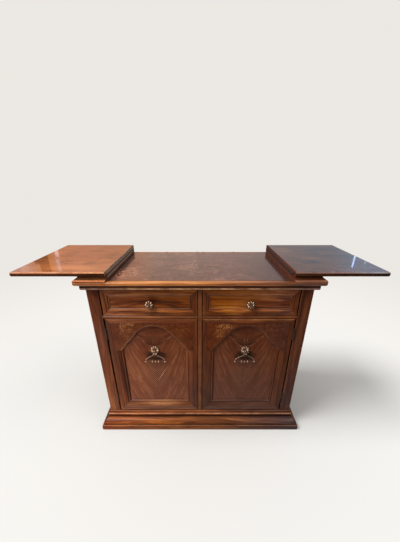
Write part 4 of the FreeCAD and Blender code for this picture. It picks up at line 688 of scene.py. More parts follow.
M = {
    # sub-top: the bright line on its lower arris is rubbed wear with a painted highlight, and its colour is painted
    # brighter in the middle and darker at the ends to follow the light
    "x": wood("walnut_x", "x", seed=1.7, wear_and_highlight=1.0, painted_light_drift=("x", (
        (-0.49, 0.65), (-0.34, 0.80), (-0.28, 1.15), (0.10, 1.25), (0.30, 1.1), (0.49, 0.6))), arris=(
        (-0.49, (0.34, 0.19, 0.14)), (-0.33, (0.42, 0.24, 0.15)), (-0.27, (0.86, 0.47, 0.24)), (0.15, (0.95, 0.52, 0.28)),
        (0.30, (0.62, 0.34, 0.20)), (0.38, (0.44, 0.24, 0.17)), (0.49, (0.40, 0.22, 0.18)))),
    "y": wood("walnut_y", "y", seed=4.3),
    # corner posts: painted lighter and bluer low down where a sheen is painted, darker towards the top; the right post
    # is bluer still, a painted cool reflection
    "post_left": wood("walnut_post_left", "z", tones=shade(WALNUT, 0.88), seed=7.9, streaks=0.7, veins=0.25,
                      painted_light_drift=("z", ((0.10, (1.06, 1.3, 1.5)), (0.45, 1.05), (0.80, 0.86)))),
    "post_right": wood("walnut_post_right", "z", tones=shade(WALNUT, 0.88), seed=8.7, streaks=0.7, veins=0.25,
                       painted_light_drift=("z", ((0.10, (0.95, 1.42, 3.8)), (0.45, (0.88, 1.10, 2.1)), (0.80, (0.95, 1.16, 1.8))))),
    "stile": wood("walnut_stile", "z", tones=shade(WALNUT, 0.90, 0.86, 0.78), seed=9.4, streaks=0.8, veins=0.3, wear_and_highlight=0.3),
    # door stiles: a lighter copy for the lit left door and a darker one for the right, darkened towards its foot as
    # painted shade
    "door_z_left": wood("door_stile_left", "z", tones=shade(WALNUT, 0.84), seed=12.9, streaks=0.7, veins=0.25, wear_and_highlight=0.25,
                        groove_shade=0.7),
    "door_z_right": wood("door_stile_right", "z", tones=shade(WALNUT, 0.78), seed=12.1, streaks=0.7, veins=0.25, wear_and_highlight=0.25,
                         groove_shade=0.7, painted_light_drift=("z", ((0.10, (0.72, 0.80, 1.0)), (0.50, 0.95), (0.65, 1.0)))),
    "rail_x": wood("walnut_rail_x", "x", tones=shade(WALNUT, 0.92), seed=11.3, streaks=0.85, veins=0.35, wear_and_highlight=0.35),
    # bottom rails: a lighter copy for the left door with a painted pool of light at its lower left, a darker one for
    # the right; both are bluer than plain walnut for a painted sheen
    "foot_left": wood("door_rail_left", "x", tones=shade(WALNUT, 1.18, 1.68, 2.8), seed=10.3, streaks=0.5, veins=0.15, wear_and_highlight=0.5,
                      coat=0.4, patches=((-0.20, 0.15, 0.15, 0.03, 0.30),)),
    "foot_right": wood("door_rail_right", "x", tones=shade(WALNUT, 0.70, 1.16, 3.0), seed=10.9, streaks=0.5, veins=0.15,
                       wear_and_highlight=0.35, coat=0.3),
    "head_left": wood("door_head_left", "x", tones=shade(WALNUT, 0.90), seed=14.3, streaks=0.85, veins=0.3, wear_and_highlight=0.5),
    # the right door's top rail: its upper arris carries a painted highlight
    "head_right": wood("door_head_right", "x", tones=shade(WALNUT, 0.90), seed=14.9, streaks=0.85, veins=0.3, wear_and_highlight=1.0,
                       light=(0.52, 0.24, 0.10)),
    # arch mouldings: the left one's arris gets a painted highlight that changes along x, the right one is a darker copy
    # in painted shade
    "arch_left": wood("door_arch_left", "x", tones=shade(WALNUT, 0.92), seed=18.3, streaks=0.7, veins=0.2, wear_and_highlight=0.8,
                      groove_shade=0.75, coat=0.04, specular=0.14, rough=0.42, arris=(
                          (-0.37, (0.46, 0.27, 0.15)), (-0.26, (0.46, 0.26, 0.14)), (-0.20, (0.24, 0.100, 0.040)),
                          (-0.12, (0.30, 0.130, 0.055)), (-0.05, (0.34, 0.150, 0.070)))),
    "arch_right": wood("door_arch_right", "x", tones=shade(WALNUT, 0.80), seed=18.9, streaks=0.7, veins=0.2, wear_and_highlight=0.8,
                       light=(0.20, 0.080, 0.034), groove_shade=0.75, coat=0.04, specular=0.14, rough=0.42),
    # plinth frame: painted light and shade along x, warm and bright at the left, dark and cool at the right
    "plinth_x": wood("walnut_plinth_x", "x", tones=shade(WALNUT, 1.0, 1.10, 1.25), seed=13.3, streaks=0.85, veins=0.3,
                     specular=0.15, coat=0.10, wear_and_highlight=0.8, light=(0.44, 0.21, 0.105),
                     painted_light_drift=("x", ((-0.49, (1.18, 1.0, 0.75)), (0.05, (1.10, 1.18, 1.4)), (0.49, (0.52, 0.76, 1.9))))),
    # drawer fronts: painted light and shade along x; the lighter patches and glints on the right drawer are painted
    # highlights, the darker patches on the lower bevels and at the left drawer's outer end painted shade
    "drawer_x": wood("drawer_veneer_x", "x", seed=15.1, streaks=1.25, veins=0.7, specular=0.18, coat=0.12,
                     painted_light_drift=("x", ((-0.42, (1.02, 1.08, 1.25)), (-0.10, (1.15, 1.20, 0.75)), (0.03, (0.98, 0.88, 0.38)),
                                  (0.12, (1.06, 1.00, 0.32)), (0.24, (1.25, 1.35, 1.3)), (0.34, (1.65, 2.1, 3.4)),
                                  (0.42, (1.50, 1.8, 3.4)))),
                     patches=((0.10, 0.712, 0.16, 0.040, 0.22), (0.11, 0.780, 0.15, 0.020, 0.14),
                              (-0.36, 0.76, 0.09, 0.06, -0.06), (-0.26, 0.687, 0.17, 0.016, -0.20),
                              (0.30, 0.687, 0.13, 0.016, -0.20), (0.130, 0.7095, 0.090, 0.0085, 0.85),
                              (0.134, 0.6930, 0.10, 0.006, 0.45)),
                     glints=((0.120, 0.7115, 0.080, 0.0040, 0.85, (0.50, 0.210, 0.100)),
                             (0.124, 0.6990, 0.048, 0.0036, 0.75, (0.40, 0.165, 0.080)),
                             (0.205, 0.6990, 0.024, 0.0034, 0.50, (0.34, 0.165, 0.080)),
                             (0.138, 0.6825, 0.060, 0.0034, 0.60, (0.34, 0.130, 0.060)),
                             (-0.200, 0.6940, 0.070, 0.0036, 0.30, (0.40, 0.160, 0.050)))),
    # the upright ends of the drawer fronts are a darker copy: painted shade on the end bevels
    "drawer_end": wood("drawer_ends_z", "z", tones=shade(WALNUT, 0.78), seed=17.6, streaks=0.7, veins=0.2, specular=0.18,
                       coat=0.12),
    # top slab nose: painted lighter in the middle and dim and bluer towards the ends, following the highlight along the
    # rounded nose
    "nose_x": wood("walnut_nose_x", "x", tones=WALNUT_NOSE, seed=21.0, rough=0.32, specular=0.25, coat=0.35,
                   coat_rough=0.16, streaks=0.8, veins=0.25,
                   painted_light_drift=("x", ((-0.51, (0.64, 0.60, 0.42)), (-0.38, (0.76, 0.74, 0.55)), (-0.345, (1.12, 1.30, 1.25)),
                                (0.05, (1.12, 1.34, 1.45)), (0.20, (1.24, 1.56, 2.05)), (0.31, (0.98, 1.12, 1.5)), (0.35, (0.60, 0.66, 1.0)),
                                (0.40, (0.44, 0.52, 1.1)), (0.51, (0.42, 0.62, 1.5))))),
    "nose_y": wood("walnut_nose_y", "y", tones=shade(WALNUT_NOSE, 0.7), seed=23.0, rough=0.34, specular=0.2, coat=0.2,
                   coat_rough=0.2, streaks=0.8, veins=0.25),
    # end caps: painted warm at the left and blue at the right, a painted cool reflection
    "cap_x": wood("walnut_cap_x", "x", tones=shade(WALNUT_CAP, 1.35, 1.2, 0.8), seed=24.0, rough=0.34, specular=0.2,
                  coat=0.12, coat_rough=0.2, streaks=0.8, veins=0.25,
                  painted_light_drift=("x", ((-0.51, (1.22, 1.22, 0.85)), (-0.37, (1.22, 1.22, 0.85)), (0.37, (0.78, 1.20, 4.8)), (0.51, (0.78, 1.24, 5.0))))),
    "cap_y": wood("walnut_cap_y", "y", tones=shade(WALNUT_CAP, 0.8), seed=24.6, rough=0.34, specular=0.2, coat=0.12,
                  coat_rough=0.2, streaks=0.8, veins=0.25),
    # the coves under the leaves are dark walnut standing in for the shade under the leaf, lighter on the left where
    # more light reaches
    "cove_x": wood("walnut_cove_x", "x", tones=WALNUT_DARK, seed=25.0, rough=0.55, specular=0.04, coat=0.0, groove_shade=0.5,
                   painted_light_drift=("x", ((-0.51, (3.2, 4.0, 3.2)), (-0.37, (3.2, 4.0, 3.2)), (0.37, (1.5, 1.45, 1.4)), (0.51, (1.5, 1.45, 1.4))))),
    "cove_y": wood("walnut_cove_y", "y", tones=WALNUT_DARK, seed=25.6, rough=0.5, specular=0.1, coat=0.0),
    # plinth moulding: lighter and bluer walnut for the light it catches, painted warm and bright at the left and dark
    # and cool at the right
    "skirt_x": wood("walnut_skirt_x", "x", tones=shade(WALNUT, 1.46, 1.78, 2.3), seed=26.0, rough=0.34, streaks=0.8, veins=0.3,
                    specular=0.12, coat=0.04, wear_and_highlight=0.4, light=(0.30, 0.14, 0.07), painted_light_drift=("x", (
                        (-0.52, (1.26, 0.92, 0.32)), (-0.15, (1.34, 1.42, 0.75)), (0.12, (1.02, 1.15, 1.0)),
                        (0.52, (0.38, 0.86, 3.0))))),
    "skirt_y": wood("walnut_skirt_y", "y", tones=WALNUT, seed=28.0, rough=0.34, streaks=0.9, veins=0.4,
                    specular=0.2, coat=0.2),
    # leaves: a lighter copy for the lit left leaf and a darker one for the right; on the left the lighter patches at
    # the front are painted highlights
    "leaf_left": wood("leaf_veneer_left", "x", tones=shade(WALNUT_TOP, 0.80), seed=31.0, streaks=0.85, veins=0.8, fine=0.7,
                      rough=0.26, specular=0.35, coat=1.0, coat_rough=0.05, bump=0.05, wander=6.0, flat=True,
                      marks=((-0.590, -0.088, 0.070, 0.032, 0.95), (-0.480, -0.098, 0.040, 0.040, 0.90),
                             (-0.535, 0.108, 0.055, 0.040, 0.75), (-0.460, 0.180, 0.090, 0.026, 0.75),
                             (-0.630, 0.020, 0.036, 0.040, 0.60), (-0.425, 0.030, 0.026, 0.080, 0.60)),
                      patches=((-0.540, -0.175, 0.140, 0.050, 0.34), (-0.660, -0.130, 0.06, 0.05, 0.20),
                               (-0.640, 0.070, 0.05, 0.05, -0.20)),
                      ),
    "leaf_right": wood("leaf_veneer_right", "x", tones=shade(WALNUT_TOP, 0.55), seed=31.0, streaks=0.85, veins=0.8, fine=0.7,
                       rough=0.26, specular=0.35, coat=1.0, coat_rough=0.05, bump=0.05, wander=6.0, flat=True,
                       marks=((0.500, -0.088, 0.070, 0.032, 0.95), (0.630, 0.150, 0.090, 0.036, 0.90),
                              (0.560, 0.060, 0.036, 0.040, 0.60), (0.430, 0.190, 0.070, 0.026, 0.75)),
                       patches=((0.440, 0.140, 0.060, 0.08, 0.30), (0.520, -0.030, 0.060, 0.02, 0.25)),
                       ),
    # leaf arrises: painted highlights, warm on the left leaf and turning blue-grey at the right leaf's outer end as a
    # painted cool reflection
    "arris_left": wood("leaf_arris_left", "x", tones=shade(WALNUT, 2.2, 2.6, 3.0), seed=32.0, rough=0.40, specular=0.12,
                       coat=0.06, streaks=0.6, veins=0.1, wear_and_highlight=1.0, arris=(
                           (-0.75, (0.36, 0.180, 0.115)), (-0.66, (0.42, 0.195, 0.105)), (-0.37, (0.46, 0.215, 0.095)))),
    "arris_right": wood("leaf_arris_right", "x", tones=shade(WALNUT, 0.8, 1.6, 4.0), seed=32.6, rough=0.40, specular=0.16,
                        coat=0.10, streaks=0.6, veins=0.1, wear_and_highlight=1.0, arris=(
                            (0.37, (0.16, 0.092, 0.080)), (0.56, (0.20, 0.130, 0.120)), (0.75, (0.27, 0.30, 0.34)))),
    "leaf_y": wood("leaf_edge_y", "y", tones=shade(WALNUT_DARK, 0.8), seed=33.0, rough=0.42, specular=0.12, coat=0.0),
    # leaf front edges: painted lighter near the middle and darker and bluer at the right end
    "leaf_x": wood("leaf_edge_x", "x", tones=shade(WALNUT_DARK, 0.8), seed=35.0, rough=0.42, specular=0.12, coat=0.0,
                   wear_and_highlight=0.35, light=(0.30, 0.12, 0.05),
                   painted_light_drift=("x", ((-0.75, 0.9), (-0.38, 1.5), (0.38, 0.9), (0.75, (0.35, 0.5, 0.8))))),
    # inner edges and cap walls: light grey-brown copies on the left, facing the light from the right, and dark copies
    # on the right in painted shade
    "inner_left": wood("inner_edge_left", "y", tones=[(0.2, (0.140, 0.078, 0.050)), (0.45, (0.270, 0.162, 0.108)),
                                                      (0.6, (0.360, 0.226, 0.158)), (0.8, (0.480, 0.320, 0.230))],
                       seed=37.0, rough=0.42, specular=0.2, coat=0.1, veins=0.2, streaks=0.9, wear_and_highlight=0.1),
    "inner_right": wood("inner_edge_right", "y", tones=shade(WALNUT_DARK, 1.15, 1.15, 1.7), seed=39.0, rough=0.42,
                        specular=0.15, coat=0.05, veins=0.2, streaks=0.6, wear_and_highlight=0.0),
    "wall_left": wood("cap_wall_left", "y", tones=shade(WALNUT_DARK, 4.0, 4.8, 5.4), seed=38.0, rough=0.42, specular=0.15,
                      coat=0.05, veins=0.3, streaks=0.9, wear_and_highlight=0.0),
    "wall_right": wood("cap_wall_right", "y", tones=shade(WALNUT_DARK, 2.0, 1.55, 1.6), seed=40.0, rough=0.42, specular=0.15,
                       coat=0.05, veins=0.15, streaks=0.4, wear_and_highlight=0.0),
    "side": wood("side_veneer", "z", seed=41.0, streaks=0.62, veins=0.28, wander=1.6),
    # spandrels: the colour along x is painted, darker and less blue at the left end and bluer at the right, following
    # the light
    "burl": burl("spandrel_burl", [(0.26, (0.032, 0.0070, 0.0026)), (0.44, (0.068, 0.0155, 0.0050)),
                                   (0.58, (0.104, 0.0255, 0.0078)), (0.76, (0.165, 0.0480, 0.0150))],
                 match_x=0.213, seed=0.37, scale=1.1, gold=(0.46, 0.225, 0.070), gold_amount=0.12,
                 specular=0.15, coat=0.1,
                 painted_light_drift=((-0.42, (0.86, 0.76, 0.60)), (-0.10, (0.98, 0.93, 0.77)), (0.05, (1.04, 0.93, 0.74)),
                        (0.22, (1.0, 1.0, 1.0)), (0.40, (0.86, 1.10, 2.1))),
                 spots=((-0.345, 0.622, 0.024, 0.032, 0.80, (0.9, 0.46, 0.15)), (-0.312, 0.630, 0.026, 0.018, 0.75, (0.9, 0.46, 0.15)),
                        (-0.318, 0.600, 0.022, 0.024, 0.60), (-0.352, 0.588, 0.018, 0.024, 0.50), (0.108, 0.618, 0.054, 0.020, 1.0, (0.85, 0.42, 0.15)),
                        (0.090, 0.585, 0.034, 0.040, 0.80),
                        (-0.330, 0.560, 0.020, 0.02, 0.35), (-0.080, 0.600, 0.040, 0.04, 0.16),
                        (0.320, 0.612, 0.035, 0.03, 0.14))),
    "serving": burl("serving_burl", [(0.30, (0.018, 0.0060, 0.0040)), (0.43, (0.050, 0.0175, 0.0110)),
                                     (0.56, (0.098, 0.0375, 0.0230)), (0.70, (0.190, 0.0850, 0.0560))],
                    gold=(0.46, 0.270, 0.190), gold_amount=0.45, seed=1.1, scale=0.55, rough=0.26, specular=0.3,
                    coat=1.0, coat_rough=0.08, bump=0.05, wide=1.35, flat=True, birds=250.0,
                    calm=(-0.02, 0.20, 0.55, (0.062, 0.0240, 0.0160)),
                    painted_light_drift=((-0.377, (0.72, 0.74, 0.80)), (-0.10, (0.95, 0.95, 0.95)), (0.15, (0.95, 0.95, 0.95)),
                           (0.377, (0.72, 0.70, 0.74))),
                    spots=((-0.310, -0.100, 0.085, 0.120, 0.85), (-0.350, -0.140, 0.034, 0.075, 1.0, (0.95, 0.33, 0.12)),
                           (-0.040, 0.010, 0.040, 0.16, 0.70),
                           (-0.250, 0.150, 0.09, 0.05, 0.35), (0.180, -0.145, 0.030, 0.03, 0.5),
                           (-0.130, -0.120, 0.05, 0.04, 0.35), (0.12, 0.06, 0.10, 0.05, 0.22))),
    "line": wood("crossband_line", "x", tones=WALNUT_DARK, seed=50.0, coat=0.8, coat_rough=0.08),
    "field": field_veneer("door_field_veneer"),
    "inside_x": wood("inside_x", "x", tones=INSIDE, seed=61.0, rough=0.55, coat=0.0, veins=0.3, wear_and_highlight=0.2),
    "inside_z": wood("inside_z", "z", tones=INSIDE, seed=63.0, rough=0.55, coat=0.0, veins=0.3, wear_and_highlight=0.2),
    "inside_y": wood("inside_y", "y", tones=INSIDE, seed=65.0, rough=0.55, coat=0.0, veins=0.3, wear_and_highlight=0.2),
    "drawer_y": wood("drawer_wood_y", "y", tones=OAK, seed=71.0, rough=0.5, coat=0.0, veins=0.15, wear_and_highlight=0.2),
    "drawer_wx": wood("drawer_wood_x", "x", tones=OAK, seed=73.0, rough=0.5, coat=0.0, veins=0.15, wear_and_highlight=0.2),
    "ply": wood("plywood", "z", tones=PLY, seed=75.0, streaks=0.6, rough=0.6, coat=0.0, veins=0.08, wear_and_highlight=0.2, wander=1.8),
    "ply_x": wood("plywood_x", "x", tones=PLY, seed=77.0, rough=0.6, coat=0.0, veins=0.2, wear_and_highlight=0.2, wander=1.8),
    "brass_left": brass("antique_brass_left", bright=(0.70, 0.43, 0.28), patina=(0.060, 0.029, 0.014), rough=0.40, amount=0.34),
    "brass_right": brass("antique_brass_right", bright=(0.55, 0.36, 0.26), patina=(0.050, 0.025, 0.014), rough=0.42,
                         amount=0.30),
    "knob_brass": brass("antique_brass_knob", bright=(0.42, 0.265, 0.175), patina=(0.050, 0.023, 0.009), rough=0.42,
                        amount=0.30),
    "dull": brass("aged_brass", bright=(0.120, 0.078, 0.050), patina=(0.020, 0.012, 0.009), rough=0.45),
    # piano hinges: a bright copy on the left, facing the light, and a dark copy in painted shade on the right
    "piano_left": brass("piano_hinge_left", bright=(0.88, 0.64, 0.49), patina=(0.310, 0.195, 0.140), rough=0.46,
                        seam=(0.86315, 0.0026)),
    "piano_right": brass("piano_hinge_right", bright=(0.165, 0.076, 0.054), patina=(0.052, 0.019, 0.013), rough=0.48,
                         seam=(0.86315, 0.0026)),
    "steel": plain("zinc_steel", (0.55, 0.55, 0.56), 0.32, metallic=1.0, noise_scale=700.0, vary=0.1),
    "catch": plain("catch_plastic", (0.035, 0.020, 0.014), 0.45, noise_scale=900.0, vary=0.15),
    "felt": plain("felt", (0.200, 0.125, 0.090), 0.95, specular=0.1, noise_scale=1600.0, vary=0.5, bump=0.9, sheen=0.4),
}

# =====================================================================
# Plinth: a mitred frame and the foot moulding planted on it
# =====================================================================

HALF, FRONT, BACK = 476.0, 202.0, 236.0


def mitred_front(profile, mat):
    """A front board from mitre to mitre. profile is closed: (out, z, tone)."""
    s = Shape()
    rings = []
    for side, inset, extra in ((-1, 0.0, -0.8), (-1, 1.2, 0.0), (1, 1.2, 0.0), (1, 0.0, -0.8)):
        rings.append([s.point((side * (HALF + o - inset), -(FRONT + o), z), max(-1, t + extra)) for o, z, t in profile])
    s.skins(rings, mat)
    s.lid(rings[0], mat)
    s.lid(rings[-1], mat)
    return s


def mitred_side(side, profile, mat, back=BACK):
    s = Shape()
    rings = []
    for inset, extra in ((0.0, -0.8), (1.2, 0.0)):
        rings.append([s.point((side * (HALF + o), -(FRONT + o) + inset, z), max(-1, t + extra)) for o, z, t in profile])
    rings.append([s.point((side * (HALF + o), back, z), t) for o, z, t in profile])
    s.skins(rings, mat)
    s.lid(rings[0], mat)
    s.lid(rings[-1], mat)
    return s


# plinth frame profile: tone -1 paints shade in the recess under the bead, tone 1 paints a highlight on the bead
frame_profile = [(8, 0.4, 0), (8, 64.5, -1), (8, 70.8, -1), (8.4, 71.8, -0.9), (9.2, 72.0, -0.7), (10, 73.0, -0.5),
                 (10, 75, -0.3), (10, 79.5, 0.3)]
frame_profile += [(u, v, 1.0) for u, v in arc(7.5, 82.0, 2.5, 0, 90, 6)]
frame_profile += [(6.4, 84.6, 0.2), (5.8, 85.4, -0.5), (5.6, 87.0, -0.2), (5.6, 95.5, 0.0), (5.1, 98.2, 0.1), (3.8, 99.6, 0.2),
                  (2.6, 100, 0), (1.5, 100, -0.6), (-12, 100, -1), (-12, 0.4, 0)]
mitred_front(frame_profile, 0).make("plinth_frame_front_board", [M["plinth_x"]], "root", "walnut", ["plinth_frame_front"])
for side, tag in ((-1, "left"), (1, "right")):
    mitred_side(side, frame_profile, 0).make("plinth_frame_side_board_" + tag, [M["y"]], "root", "walnut",
                                             ["plinth_frame_sides"])

skirt = [(8, 0, 0), (40, 0, -0.6)]
skirt += [(u, v, -0.2) for u, v in arc(39.5, 2.5, 2.5, -90, 0, 3)[1:]]
skirt += [(42, 6, 0), (42, 26.5, 0)]
skirt += [(u, v, 0.9) for u, v in arc(38.0, 27.0, 4.0, 0, 90, 6)]
skirt += [(36.9, 31, -0.5), (36, 31.3, -1), (35.2, 32.4, -1), (35.0, 34.2, -1), (35.3, 35.8, -0.7)]
# ogee: a hollow foot that swells and then sweeps up to the frame; the negative tones on its concave upper part paint
# shade
skirt += [(35.5, 37.4, 0.2), (35.3, 39.6, 0.3), (34.6, 42.2, 0.1), (33.2, 45.0, 0.0), (31.0, 48.0, 0.0),
          (28.2, 50.8, 0.0), (25.2, 53.1, 0.0), (22.0, 55.2, 0.0), (18.8, 57.2, -0.1), (16.0, 59.4, -0.35),
          (14.0, 61.4, -0.6), (12.8, 63.2, -0.8), (12.0, 64, -0.7), (9.4, 64, -0.9), (8, 64, -1)]
mitred_front(skirt, 0).make("plinth_moulding_front_length", [M["skirt_x"]], "root", "walnut", ["plinth_moulding_front"])
for side, tag in ((-1, "left"), (1, "right")):
    mitred_side(side, skirt, 0).make("plinth_moulding_side_length_" + tag, [M["skirt_y"]], "root", "walnut",
                                     ["plinth_moulding_sides"])

# =====================================================================
# Posts, stile, rails
# =====================================================================

ENDS = ((100.0, -0.9), (101.5, 0.0), (799.5, 0.0), (801.0, -0.9))
post = [(426.0, -172.0, 0), (426.0, -201.0, -0.3)]
post += [(427.0 - 1.0 * math.cos(a), -201.0 - 1.0 * math.sin(a), 0.5) for a in (0.5, 1.1)]
post += [(427.0, -202.0, 0.3), (430.0, -202.0, 0.0), (472.0, -202.0, 0.0)]
post += [(u, v, 0.8) for u, v in [(473.5 + 2.5 * math.sin(a), -199.5 - 2.5 * math.cos(a))
                                 for a in (0.0, 0.39, 0.78, 1.18, 1.57)]]
post += [(476.0, -196.0, 0.1), (476.0, -172.0, -0.4)]
for side, tag in ((-1, "left"), (1, "right")):
    s = Shape()
    extrude(s, post, "z", ENDS, 0)
    if side < 0:
        s.mirror()
    s.make("corner_post_board_" + tag, [M["post_" + tag]], "root", "walnut", ["corner_post_" + tag])

half_stile = [(9.0, -172.0, 0), (9.0, -200.0, -0.2)]
half_stile += [(7.0 + 2.0 * math.cos(a), -200.0 - 2.0 * math.sin(a), 0.7) for a in (0.4, 0.8, 1.2, 1.57)]
stile = half_stile + [(-u, v, t) for u, v, t in reversed(half_stile)]
s = Shape()
extrude(s, stile, "z", ENDS, 0)
s.make("centre_stile_board", [M["stile"]], "root", "walnut", ["centre_stile"])

rail = [(-172.0, 660.0, 0), (-172.0, 672.0, 0), (-201.2, 672.0, -0.5), (-202.0, 671.2, 0.6), (-202.0, 660.8, 0.6),
        (-201.2, 660.0, -0.5)]
rail = [(y, z, t) for y, z, t in rail]
for side, tag in ((-1, "left"), (1, "right")):
    s = Shape()
    extrude(s, rail, "x", ((9.0, -0.9), (10.5, 0.0), (424.5, 0.0), (426.0, -0.9)), 0)
    if side < 0:
        s.mirror()
    s.make("drawer_rail_" + tag, [M["rail_x"]], "root", "walnut", ["drawer_rails"])

# =====================================================================
# Top: moulded under-top, slab, serving surface, end caps, leaves
# =====================================================================


def corners(x, front, back):
    return [(-x, back), (-x, front), (x, front), (x, back)]


def stacked(levels, mats, bottom_mat, top_mat):
    """A board with the same profile on three sides and a flat back. levels: (x, front, back, z, tone)."""
    s = Shape()
    rings = [s.ring([(x, y, z) for x, y in corners(hx, fy, by)], t) for hx, fy, by, z, t in levels]
    s.skins(rings, mats)
    s.lid(rings[0], bottom_mat)
    s.lid(rings[-1], top_mat)
    return s


def level(o, z, tone, x0, y0, back):
    return (x0 + o, -(y0 + o), back, z, tone)


# sub-top profile: the tones paint a highlight on the lower rounded arris and shade on the face under the nose
prof = [(9.5, 801.0, -1.0)]
prof += [(u, v, tn) for (u, v), tn in zip(arc(9.5, 807.0, 6.0, -72, 0, 5), (-0.8, -0.5, -0.1, 0.4, 0.8, 1.0))]
prof += [(15.5, 808.6, 0.9), (15.5, 811.4, 0.3), (15.5, 814.0, -0.25), (15.5, 818.0, -0.55), (15.5, 822.0, -0.8),
         (15.5, 824.0, -1.0)]
stacked([level(o, z, t, HALF, FRONT, 240.0) for o, z, t in prof], [1, 0, 1, 0], 0, 0).make(
    "sub_top_board", [M["x"], M["y"]], "root", "walnut", ["sub_top"])

slab = [(-10.5, 824.0, -0.9)]
slab += [(-10.0 + 10.0 * math.cos(math.radians(a)), 834.0 + 10.0 * math.sin(math.radians(a)), -0.3 if a < -60 else 0.0)
         for a in (-84, -72, -60, -48, -36, -24, -12, 0)]
slab += [(0.0, 836.6, 0.1)]
slab += [(-4.0 + 4.0 * math.cos(math.radians(a)), 837.0 + 4.0 * math.sin(math.radians(a)), 0.4)
         for a in (0, 22, 45, 68, 90)]
s = Shape()
rings = [s.ring([(x, y, z) for x, y in corners(508.0 + o, -(234.0 + o), 244.0)], t) for o, z, t in slab]
side_mats = [1, 0, 1, 0]
s.skins(rings, side_mats)
rim = s.ring([(x, y, 841.0) for x, y in corners(377.6, -212.6, 230.6)], -0.5)
drop = s.ring([(x, y, 840.6) for x, y in corners(377.0, -212.0, 230.0)], -1.0)
floor_ring = s.ring([(x, y, 839.0) for x, y in corners(377.0, -212.0, 230.0)], 0.0)
s.skin(rings[-1], rim, side_mats)
s.skin(rim, drop, side_mats)
s.skin(drop, floor_ring, side_mats)
s.lid(rings[0], 0)
s.lid(floor_ring, 0)
s.make("top_slab_board", [M["nose_x"], M["nose_y"]], "root", "walnut", ["top_slab"])


def rect(x, y0, y1):
    return [(-x, y1), (-x, y0), (x, y0), (x, y1)]


s = Shape()
rings = []
for inset, z, t in ((0.0, 839.0, 0), (0.0, 840.6, -1), (0.5, 841.0, -0.6), (1.3, 841.0, 0.0), (4.6, 841.0, 0.0)):
    rings.append(s.ring([(x, y, z) for x, y in rect(377.0 - inset, -212.0 + inset, 230.0 - inset)], t))
for k, (a, b) in enumerate(zip(rings, rings[1:])):
    s.skin(a, b, 1)
s.lid(rings[0], 1)
s.lid(rings[-1], 0)
s.make("serving_veneer_panel", [M["serving"], M["line"]], "root", "serving_veneer", ["serving_surface"])


def cap_ring(s, o, z, tone, inner):
    x1 = 508.0 - o
    y0 = -234.0 + o
    return s.ring([(inner, 244.0, z), (inner, y0, z), (x1, y0, z), (x1, 244.0, z)], tone)


# end cap profile: a bead, then a cove whose negative tones and dark cove walnut paint the shade under the leaf
cap = [(0.0, 841.0, -1.0, 377.0), (0.0, 842.4, -0.8, 377.0)]
cap += [(7.0 - 7.0 * math.cos(math.radians(a)), 843.0 + 7.0 * math.sin(math.radians(a)), 0.35, 377.0)
        for a in (0, 15, 30, 45, 60, 75, 88)]
cap += [(8.0, 850.0, -0.8, 377.0)]
cap += [(8.6 + 8.4 * math.sin(math.radians(a)), 850.1 + 12.9 * (1 - math.cos(math.radians(a))), tn, 377.0)
        for a, tn in ((2, -1.0), (15, -0.8), (30, -0.7), (45, -0.6), (60, -0.6))]
cap += [(16.8, 858.2, -0.6, 377.0), (17.0, 859.6, -0.6, 377.0), (17.0, 862.4, -0.6, 379.8), (17.4, 863.0, -0.6, 380.4)]
for side, tag in ((-1, "left"), (1, "right")):
    s = Shape()
    rings = [cap_ring(s, o, z, t, inner) for o, z, t, inner in cap]
    for k, (a, b) in enumerate(zip(rings, rings[1:])):
        s.skin(a, b, [5, 0, 1, 0] if k < 8 else [5, 3, 4, 3])
    s.lid(rings[0], 0)
    s.lid(rings[-1], 2)
    if side < 0:
        s.mirror()
    s.make("end_cap_moulded_" + tag, [M["cap_x"], M["cap_y"], M["leaf_" + tag], M["cove_x"], M["cove_y"],
                                          M["wall_" + tag]], "root", "walnut",
           ["end_cap_" + tag])


def leaf_ring(s, o, z, tone, inner):
    """One level of a leaf; the outer corners are a little rounded in plan."""
    x1, y0, y1 = 750.0 - o, -227.0 + o, 244.0 - o
    r = 2.6 * (1.0 - o / 9.0)
    pts = [(inner, y1, z), (inner, y0, z)]
    pts += [(x1 - r + r * math.sin(a), y0 + r - r * math.cos(a), z) for a in (0.0, 0.39, 0.78, 1.18, 1.57)]
    pts += [(x1 - r + r * math.cos(a), y1 - r + r * math.sin(a), z) for a in (0.0, 0.39, 0.78, 1.18, 1.57)]
    return s.ring(pts, tone)


leaf = []
for a in (0, 15, 30, 45, 60, 75, 90):
    o = 6.0 - 6.0 * math.sin(math.radians(a))
    z = 869.3 - 6.0 * math.cos(math.radians(a))
    leaf.append((o, z, 0.2, 377.0 + max(0.0, 3.4 - (z - 863.3))))
leaf += [(0.0, 872.8, 0.0, 377.0)]
for a in (0, 15, 30, 45, 60, 75, 90):
    o = 6.0 - 6.0 * math.cos(math.radians(a))
    z = 876.3 + 6.0 * math.sin(math.radians(a))
    inner = 377.0
    if z > 877.8:
        inner = 377.0 + 4.5 - math.sqrt(max(0.0, 4.5 ** 2 - (z - 877.8) ** 2))
    leaf.append((o, z, {0: 0.0, 15: 0.7, 30: 1.0, 45: 1.0, 60: 1.0, 75: 0.9, 90: 0.2}[a], inner))
